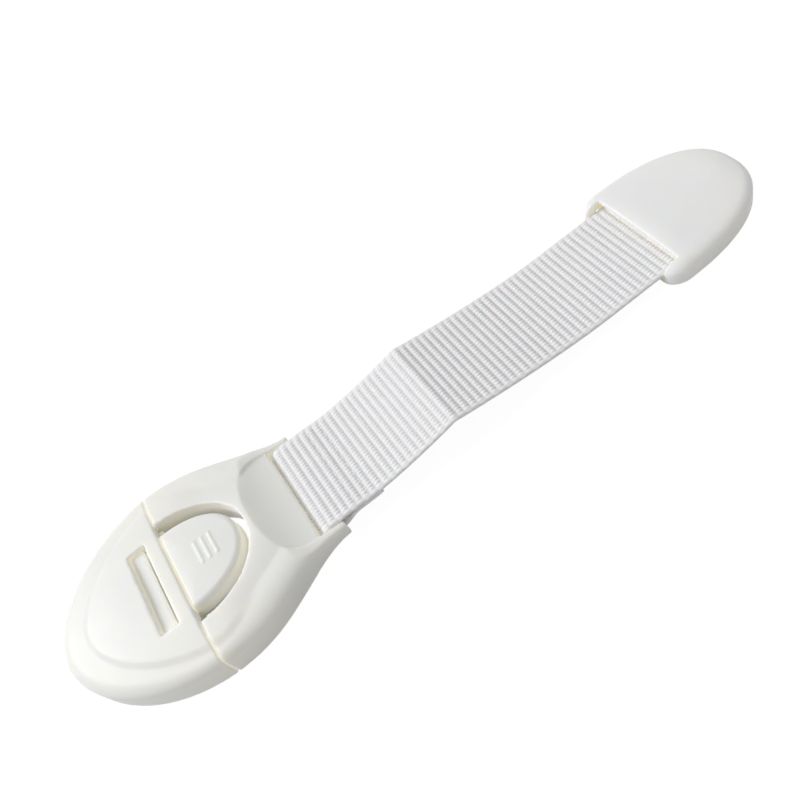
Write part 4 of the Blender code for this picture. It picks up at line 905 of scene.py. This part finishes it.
def anchor_pad_outline():
    """The nose's outline moved in, with the tongue that reaches under the button."""
    inset = WALL_DRAFT + WALL + FIT + PAD_INSET
    end_x = NOSE_END_X - FIT
    far_side = []
    for x, y, spine_x in nose_feet(60):
        place = Vector((x, y)) + (Vector((spine_x, 0.0)) - Vector((x, y))).normalized() * inset
        if place.x < end_x - LEAST_STEP:
            far_side.append((place.x, place.y))
    far_side.append((end_x, far_side[-1][1]))
    under = inset - WALL + TONGUE_INSET
    left_x = BUTTON_LEFT_X + under
    length = BUTTON_TIP_X - TONGUE_SHORTER - under - left_x
    tongue = d_outline(left_x, left_x, length, BUTTON_HALF - under, BUTTON_POWER, 24)
    half = [(x, y) for x, y in tongue if y >= 0.0]
    return closed([*far_side, (end_x, half[0][1]), *half])


cap_inset = CAP_WALL + CAP_DRAFT + FIT + PAD_INSET
cap_outline = closed(cap_half_outline(cap_inset, 8, 40, CAP_PLATE_X))
foam_pad("anchor_tape_pad", anchor_pad_outline(), "anchor", "anchor_foam_pad")
foam_pad("cap_tape_pad", cap_outline, "end_cap", "cap_foam_pad")

# %% [markdown]
# ## The strap's path
# The webbing is looped round the buckle's bar and sewn back on itself. From the buckle it climbs to
# a crease, then falls to the table and into the cap. The path is a smooth curve through the same
# guide points as the solid's.

# %% Path of the strap
LOOP_RADIUS, LOOP_REACH = 0.0015, 0.0020
SEWN_END_X, SEWN_Z, JOIN_X = 0.0540, 0.0037, 0.0473
LOW_X, LOW_Z, CREASE_X, CREASE_Z, CREASE_ROUND = 0.0520, 0.0047, 0.0740, 0.0082, 0.0016
REST_LENGTH, REST_Z, STRAP_BEND, CAP_LEAD_IN = 0.0390, 0.0029, 1.6, 0.0050
SEAM_X, PATH_STEP = 0.0592, 0.00024


def strap_rise(share):
    return mix(LOW_X, CREASE_X, share), mix(LOW_Z, CREASE_Z, share**STRAP_BEND)


def strap_fall(share):
    return CREASE_X + REST_LENGTH * share, mix(REST_Z, CREASE_Z, (1.0 - share) ** STRAP_BEND)


def strap_guide():
    top_z, bottom_z = BAR_Z + LOOP_RADIUS, BAR_Z - LOOP_RADIUS
    guide = [(SEWN_END_X, SEWN_Z), ((SEWN_END_X + JOIN_X) / 2, SEWN_Z), (JOIN_X, SEWN_Z)]
    guide += [((BAR_X1 + JOIN_X) / 2, (SEWN_Z + bottom_z) / 2), (BAR_X1, bottom_z)]
    for turn in (-QUARTER_TURN - math.pi * share for share in shares(8)):
        x = BAR_X0 + BAR_HALF + LOOP_REACH * math.cos(turn)
        guide.append((x, BAR_Z + LOOP_RADIUS * math.sin(turn)))
    guide += [(BAR_X1, top_z), (JOIN_X, LOW_Z + FIT)]
    guide += [strap_rise(share) for share in shares(4)[:-1]]
    guide += [strap_rise(1.0 - CREASE_ROUND / (CREASE_X - LOW_X)), (CREASE_X, CREASE_Z)]
    guide += [strap_fall(share) for share in (CREASE_ROUND / REST_LENGTH, *shares(6, 1))]
    for past_front in (-CAP_LEAD_IN, 0.0, CAP_EDGE_BACK, STRAP_IN_CAP):
        guide.append((CAP_FRONT_X + past_front, REST_Z))
    return [Vector(point) for point in guide]


def smooth_path(guide, step):
    """Points on a Catmull-Rom curve through the guide, about one step apart."""
    points = []
    padded = [guide[0] * 2 - guide[1], *guide, guide[-1] * 2 - guide[-2]]
    for before, start, end, after in zip(padded, padded[1:], padded[2:], padded[3:]):
        for t in shares(max(1, round((end - start).length / step)))[:-1]:
            bend = 2 * before - 5 * start + 4 * end - after
            curl = 3 * start - before - 3 * end + after
            points.append((2 * start + (end - before) * t + bend * t**2 + curl * t**3) / 2)
    return [*points, guide[-1]]


def with_lengths(points):
    """(length along the path, point, upward normal) for every point."""
    stations = []
    length = 0.0
    for index, point in enumerate(points):
        if index:
            length += (point - points[index - 1]).length
        forward = points[min(index + 1, len(points) - 1)] - points[max(index - 1, 0)]
        stations.append((length, point, Vector((-forward.y, forward.x)).normalized()))
    return stations


strap_stations = with_lengths(smooth_path(strap_guide(), PATH_STEP))

# %% [markdown]
# ## Weaving the webbing
# Heavy webbing has thick weft cords under fine warp yarns, so it shows ribs across its width with
# yarns crossing them. A plain closed ribbon carries its length along and its place across as
# attributes, and Geometry Nodes raises the ribs and the yarns from them along the normals. The
# ribs flatten at the selvedges, where the weft turns back.

# %% Geometry Nodes for the weave
BEAD_SHARE, RIB_MIDDLE, RIB_POWER, EDGE_SHARE = 0.40, 0.65, 0.8, 0.05


def end_tree(tree, made, given, leave):
    """Every tree ends by making its instances real and giving them their material."""
    made = add_node(tree, "GeometryNodeRealizeInstances", {0: made})
    painted = add_node(tree, "GeometryNodeSetMaterial", {0: made, "Material": given["Material"]})
    fill(tree, leave, {"Geometry": painted})
    return tree


def make_weave_tree():
    tree, given, leave = new_group(
        "weave_ribs",
        "GeometryNodeTree",
        {
            "Geometry": "Geometry",
            "Rib Pitch": 0.00172,
            "Rib Height": 0.00042,
            "Yarn Pitch": 0.00082,
            "Yarn Height": 0.00021,
            "Strap Half Width": 0.01225,
            "Selvedge": 0.0020,
            "Material": "Material",
        },
        {"Geometry": "Geometry"},
    )

    def attribute(name):
        kind = "GeometryNodeInputNamedAttribute"
        return add_node(tree, kind, {"Name": name}, data_type="FLOAT").outputs["Attribute"]

    def calc(operation, first, second=0.0):
        return math_node(tree, operation, first, second)

    across = attribute("across")
    turns = calc("DIVIDE", attribute("along"), given["Rib Pitch"])
    swing = calc("ABSOLUTE", calc("SINE", calc("MULTIPLY", turns, math.pi)))
    to_edge = calc("SUBTRACT", given["Strap Half Width"], calc("ABSOLUTE", across))
    inside = {"Value": to_edge, "From Max": given["Selvedge"], "To Min": EDGE_SHARE}
    inside = smooth_range(tree, inside)
    rib = calc("SUBTRACT", calc("POWER", swing, RIB_POWER), RIB_MIDDLE)
    rib = calc("MULTIPLY", calc("MULTIPLY", rib, inside), given["Rib Height"])
    odd = calc("MULTIPLY", calc("FLOOR", turns), math.pi)
    columns = calc("MULTIPLY", calc("DIVIDE", across, given["Yarn Pitch"]), 2 * math.pi)
    yarn = calc("MULTIPLY", calc("SINE", calc("ADD", columns, odd)), swing)
    lift = calc("MULTIPLY", calc("MULTIPLY", yarn, given["Yarn Height"]), inside)
    height = calc("ADD", rib, lift)
    beads = calc("ADD", calc("MULTIPLY", yarn, BEAD_SHARE), 1.0 - BEAD_SHARE)
    relief = calc("MULTIPLY", swing, beads)
    marked = add_node(
        tree,
        "GeometryNodeStoreNamedAttribute",
        {"Geometry": given["Geometry"], "Name": "relief", "Value": relief},
        data_type="FLOAT",
        domain="POINT",
    )
    normal = add_node(tree, "GeometryNodeInputNormal")
    move = add_node(tree, "ShaderNodeVectorMath", {0: normal, "Scale": height}, operation="SCALE")
    woven = add_node(tree, "GeometryNodeSetPosition", {0: marked, "Offset": move})
    return end_tree(tree, woven, given, leave)


def run_nodes(obj, tree, values):
    """Runs a Geometry Nodes tree on an object once and keeps what it made as a plain mesh."""
    step = obj.modifiers.new(tree.name, "NODES")
    step.node_group = tree
    for socket in tree.interface.items_tree:
        if socket.in_out == "INPUT" and socket.name in values:
            step[socket.identifier] = values[socket.name]
    return apply_modifiers(obj)


WEAVE = make_weave_tree()
print("weave tree:", len(WEAVE.nodes), "nodes")

# %% [markdown]
# ## Yarn and thread
# White polyester yarn is soft and slightly translucent. The material adds the filaments that are
# too fine for the mesh: a twill-like bump from the along and across attributes, and a little fuzz.
# The colour is painted darker in the grooves between the ribs, as shade where the light gets lost
# between the yarns.


# %% Yarn materials
def yarn_material(name, color, groove, along_scale, across_scale, depth):
    material, tree = new_material(name)

    def attribute(name):
        return add_node(tree, "ShaderNodeAttribute", attribute_name=name).outputs["Fac"]

    x = math_node(tree, "MULTIPLY", attribute("along"), along_scale)
    y = math_node(tree, "MULTIPLY", attribute("across"), across_scale)
    place = add_node(tree, "ShaderNodeCombineXYZ", {"X": x, "Y": y})
    strands = add_node(tree, "ShaderNodeTexNoise", {"Vector": place, "Scale": 1.0, "Detail": 2.0})
    filaments = {"Strength": 0.9, "Distance": depth, "Height": strands}
    # Painted shade: where the relief is low, between the ribs and the beads, the colour turns to the
    # darker groove colour.
    raised = smooth_range(tree, {"Value": attribute("relief"), "From Min": 0.1, "From Max": 0.75})
    fibre = mix_colors(tree, strands, [c * 0.93 for c in color], color)
    values = {
        "Base Color": mix_colors(tree, raised, groove, fibre),
        "Roughness": 0.8,
        "Normal": add_node(tree, "ShaderNodeBump", filaments),
        "Subsurface Weight": 0.1,
        "Subsurface Scale": 0.0004,
        "Sheen Weight": 0.15,
    }
    return shade(material, values)


# The second colour of each yarn is the painted shade in its grooves.
WEBBING_YARN = yarn_material(
    "white_polyester_webbing", (0.96, 0.96, 0.965), (0.81, 0.81, 0.82), 900.0, 6500.0, 0.00006
)
THREAD = yarn_material(
    "white_sewing_thread", (0.93, 0.93, 0.93), (0.90, 0.90, 0.90), 3000.0, 3000.0, 0.00003
)
print("yarns:", WEBBING_YARN.name, THREAD.name)

# %% [markdown]
# ## The two lengths of webbing
# The strap crosses two joints. It is made as two lengths that meet in a groove between ribs: one runs
# round the buckle's bar to the seam, the other from the seam over the crease into the cap.

# %% Webbing
STRAP_COLUMNS, SELVEDGE_STEPS = 118, 6
RIB_PITCH = 0.00172
CUT_END_LENGTH, CUT_END_SHARE = 0.0014, 0.35
BUCKLE_BEND = ("buckle", "webbing", (0.0442, 0.0, 0.005), (0.0520, 0.0, 0.005))
CREASE_BEND = ("webbing", "end_cap", (0.0700, 0.0, 0.0), (0.0780, 0.0, 0.0))


def ribbon(name, stations):
    """A flat sleeve with round selvedges, and its place along and across as attributes."""
    bm = bmesh.new()
    along_layer = bm.verts.layers.float.new("along")
    across_layer = bm.verts.layers.float.new("across")
    half_t = STRAP_THICKNESS / 2
    flat_half = STRAP_HALF - half_t
    section = []
    for side in (1.0, -1.0):
        for share in shares(STRAP_COLUMNS):
            section.append((side * mix(-flat_half, flat_half, share), side * half_t))
        for turn in (QUARTER_TURN - math.pi * share for share in shares(SELVEDGE_STEPS)[1:-1]):
            y = side * (flat_half + half_t * math.cos(turn))
            section.append((y, side * half_t * math.sin(turn)))
    rows = []
    for length, point, normal in stations:
        row = []
        thin = mix(CUT_END_SHARE, 1.0, smooth_step(length / CUT_END_LENGTH))
        for y, rise in section:
            place = point + normal * rise * thin
            vertex = bm.verts.new((place.x, y, place.y))
            vertex[along_layer] = length
            vertex[across_layer] = y
            row.append(vertex)
        rows.append(row)
    join_rows(bm, rows)
    strap = object_from(bm, name, solid=False)
    strap.data.shade_smooth()
    return strap


def close_ends(obj):
    """Fills the sleeve's two cut ends and keeps their edges sharp."""
    bm = bmesh.new()
    bm.from_mesh(obj.data)
    ends = bmesh.ops.holes_fill(bm, edges=[e for e in bm.edges if e.is_boundary])["faces"]
    for edge in {e for face in ends for e in face.edges}:
        edge.smooth = False
    bmesh.ops.triangulate(bm, faces=ends)
    bmesh.ops.recalc_face_normals(bm, faces=bm.faces)
    bm.to_mesh(obj.data)
    bm.free()


def make_webbing(name, stations, bend):
    strap = ribbon(name, stations)
    run_nodes(strap, WEAVE, {"Rib Pitch": RIB_PITCH, "Material": WEBBING_YARN})
    close_ends(strap)
    finish_piece(strap, WEBBING_YARN, bend, "webbing", "webbing_strap")


seam_length = [s[0] for s in strap_stations if s[1].x >= SEAM_X][0]
seam_length = round(seam_length / RIB_PITCH) * RIB_PITCH
near_stations = [s for s in strap_stations if s[0] <= seam_length + PATH_STEP / 2]
make_webbing("sewn_webbing", near_stations, BUCKLE_BEND)
make_webbing("creased_webbing", strap_stations[len(near_stations) - 1 :], CREASE_BEND)

# %% [markdown]
# ## Stitches
# Two rows of lock stitch hold the loop closed. Each stitch is a short round grain of thread. A
# Geometry Nodes tree sets the grains along a line across the strap.

# %% Stitches
STITCH_PITCH, STITCH_COUNT, STITCH_DEPTH = 0.0025, 9, 0.00014
STITCH_ROWS_X, TOP_RUN_START = (0.0487, 0.0513), 0.018


def make_stitch_tree():
    tree, given, leave = new_group(
        "stitch_rows",
        "GeometryNodeTree",
        {
            "Geometry": "Geometry",
            "Count": STITCH_COUNT,
            "Start": "Vector",
            "Spacing": "Vector",
            "Stitch Length": 0.0018,
            "Thread Radius": 0.00014,
            "Material": "Material",
        },
        {"Geometry": "Geometry"},
    )
    places = {"Count": given["Count"], "Start Location": given["Start"], "Offset": given["Spacing"]}
    line = add_node(tree, "GeometryNodeMeshLine", places)
    ball = add_node(tree, "GeometryNodeMeshUVSphere", {"Segments": 12, "Rings": 10, "Radius": 1.0})
    half = math_node(tree, "MULTIPLY", given["Stitch Length"], 0.5)
    thread = given["Thread Radius"]
    size = add_node(tree, "ShaderNodeCombineXYZ", {"X": thread, "Y": half, "Z": thread})
    grains = {"Points": line, "Instance": ball, "Scale": size}
    grains = add_node(tree, "GeometryNodeInstanceOnPoints", grains)
    return end_tree(tree, grains, given, leave)


def stitch_row(name, x, stations):
    """One row of stitches on the strap's outer face, in the groove that is nearest to x."""
    near = min(stations, key=lambda s: abs(s[1].x - x))
    groove = round(near[0] / RIB_PITCH) * RIB_PITCH
    _, point, normal = min(stations, key=lambda s: abs(s[0] - groove))
    place = point + normal * (STRAP_THICKNESS / 2 - STITCH_DEPTH)
    row = new_object(name, bpy.data.meshes.new(name))
    start = (place.x, -STITCH_PITCH * (STITCH_COUNT - 1) / 2, place.y)
    values = {"Start": start, "Spacing": (0.0, STITCH_PITCH, 0.0), "Material": THREAD}
    run_nodes(row, STITCH_TREE, values)
    finish_piece(row, THREAD, BUCKLE_BEND, "webbing")


STITCH_TREE = make_stitch_tree()
top_run = [s for s in near_stations if s[0] > TOP_RUN_START]
tail_run = near_stations[: len(near_stations) // 4]
for index, x in enumerate(STITCH_ROWS_X):
    stitch_row(f"stitches_top_{index + 1}", x, top_run)
    stitch_row(f"stitches_under_{index + 1}", x, tail_run)

# %% [markdown]
# ## Pieces that keep their solid shape
# The plates, the latch arms and the pin are hidden inside. Their solids are good enough as they
# are, and only get their real materials.

# %% Materials for the other solids
PLAIN_SOLIDS = {
    "anchor_base": IVORY,
    "buckle_base_plate": IVORY,
    "cap_base": CAP_WHITE,
    "latch_arm_left": ACETAL,
    "latch_arm_right": ACETAL,
    "button_pivot_pin": STEEL,
}
for node, material in PLAIN_SOLIDS.items():
    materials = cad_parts[node].data.materials
    materials.clear()
    materials.append(material)
print("solids with their own shape:", len(PLAIN_SOLIDS))

# %% [markdown]
# ## Table and light
# The photograph was taken on a white table that comes out pure white, with no visible shadow edge.
# The floor glows for the camera and takes a faint shadow. A big soft lamp stands high at the far
# left, so the near sides of the lock are darker, and the world fills the rest. From below the floor
# is clear, so that the foam pads can be looked at.

# %% Floor and lights
scene.view_settings.view_transform = "Standard"
FLOOR_GLOW, FLOOR_SHARE, FLOOR_WHITE, FLOOR_Z, FLOOR_REACH = 1.15, 0.82, 0.64, -0.00002, 4.0
WORLD_STRENGTH = 0.50
MIDDLE = Vector((0.06, 0.0, 0.0))
KEY_PLACE, KEY_SIZE, KEY_WATTS = Vector((-0.72, 0.50, 0.80)), 0.60, 9.0


def make_floor():
    mesh = bpy.data.meshes.new("table_top")
    square = ((-1, -1), (1, -1), (1, 1), (-1, 1))
    corners = [(x * FLOOR_REACH, y * FLOOR_REACH, FLOOR_Z) for x, y in square]
    mesh.from_pydata(corners, [], [(0, 1, 2, 3)])
    material, tree = new_material("white_table")
    tree.nodes.clear()
    diffuse = add_node(tree, "ShaderNodeBsdfDiffuse", {"Color": [FLOOR_WHITE] * 3})
    glow = add_node(tree, "ShaderNodeEmission", {"Strength": FLOOR_GLOW})
    rays = add_node(tree, "ShaderNodeLightPath").outputs
    seen = math_node(tree, "MAXIMUM", rays["Is Camera Ray"], rays["Is Glossy Ray"])
    share = math_node(tree, "MULTIPLY", seen, FLOOR_SHARE)
    both = add_node(tree, "ShaderNodeMixShader", {0: share, 1: diffuse, 2: glow})
    clear = add_node(tree, "ShaderNodeBsdfTransparent")
    under = add_node(tree, "ShaderNodeNewGeometry").outputs["Backfacing"]
    shown = add_node(tree, "ShaderNodeMixShader", {0: under, 1: both, 2: clear})
    add_node(tree, "ShaderNodeOutputMaterial", {"Surface": shown})
    mesh.materials.append(material)
    new_object("table_top", mesh)


def make_key_lamp():
    data = bpy.data.lights.new("key_lamp", "AREA")
    data.shape = "DISK"
    data.size = KEY_SIZE
    data.energy = KEY_WATTS
    turn = (-KEY_PLACE).to_track_quat("-Z", "Y").to_matrix().to_4x4()
    new_object("key_lamp", data).matrix_world = Matrix.Translation(MIDDLE + KEY_PLACE) @ turn


def make_world():
    scene.world = bpy.data.worlds.new("studio")
    scene.world.use_nodes = True
    tree = scene.world.node_tree
    rays = add_node(tree, "ShaderNodeLightPath").outputs["Is Camera Ray"]
    strength = {"Value": rays, "To Min": WORLD_STRENGTH, "To Max": 1.0}
    strength = add_node(tree, "ShaderNodeMapRange", strength)
    fill(tree, tree.nodes["Background"], {"Color": (1, 1, 1), "Strength": strength})


make_floor()
make_key_lamp()
make_world()
print("lamps and floor ready")
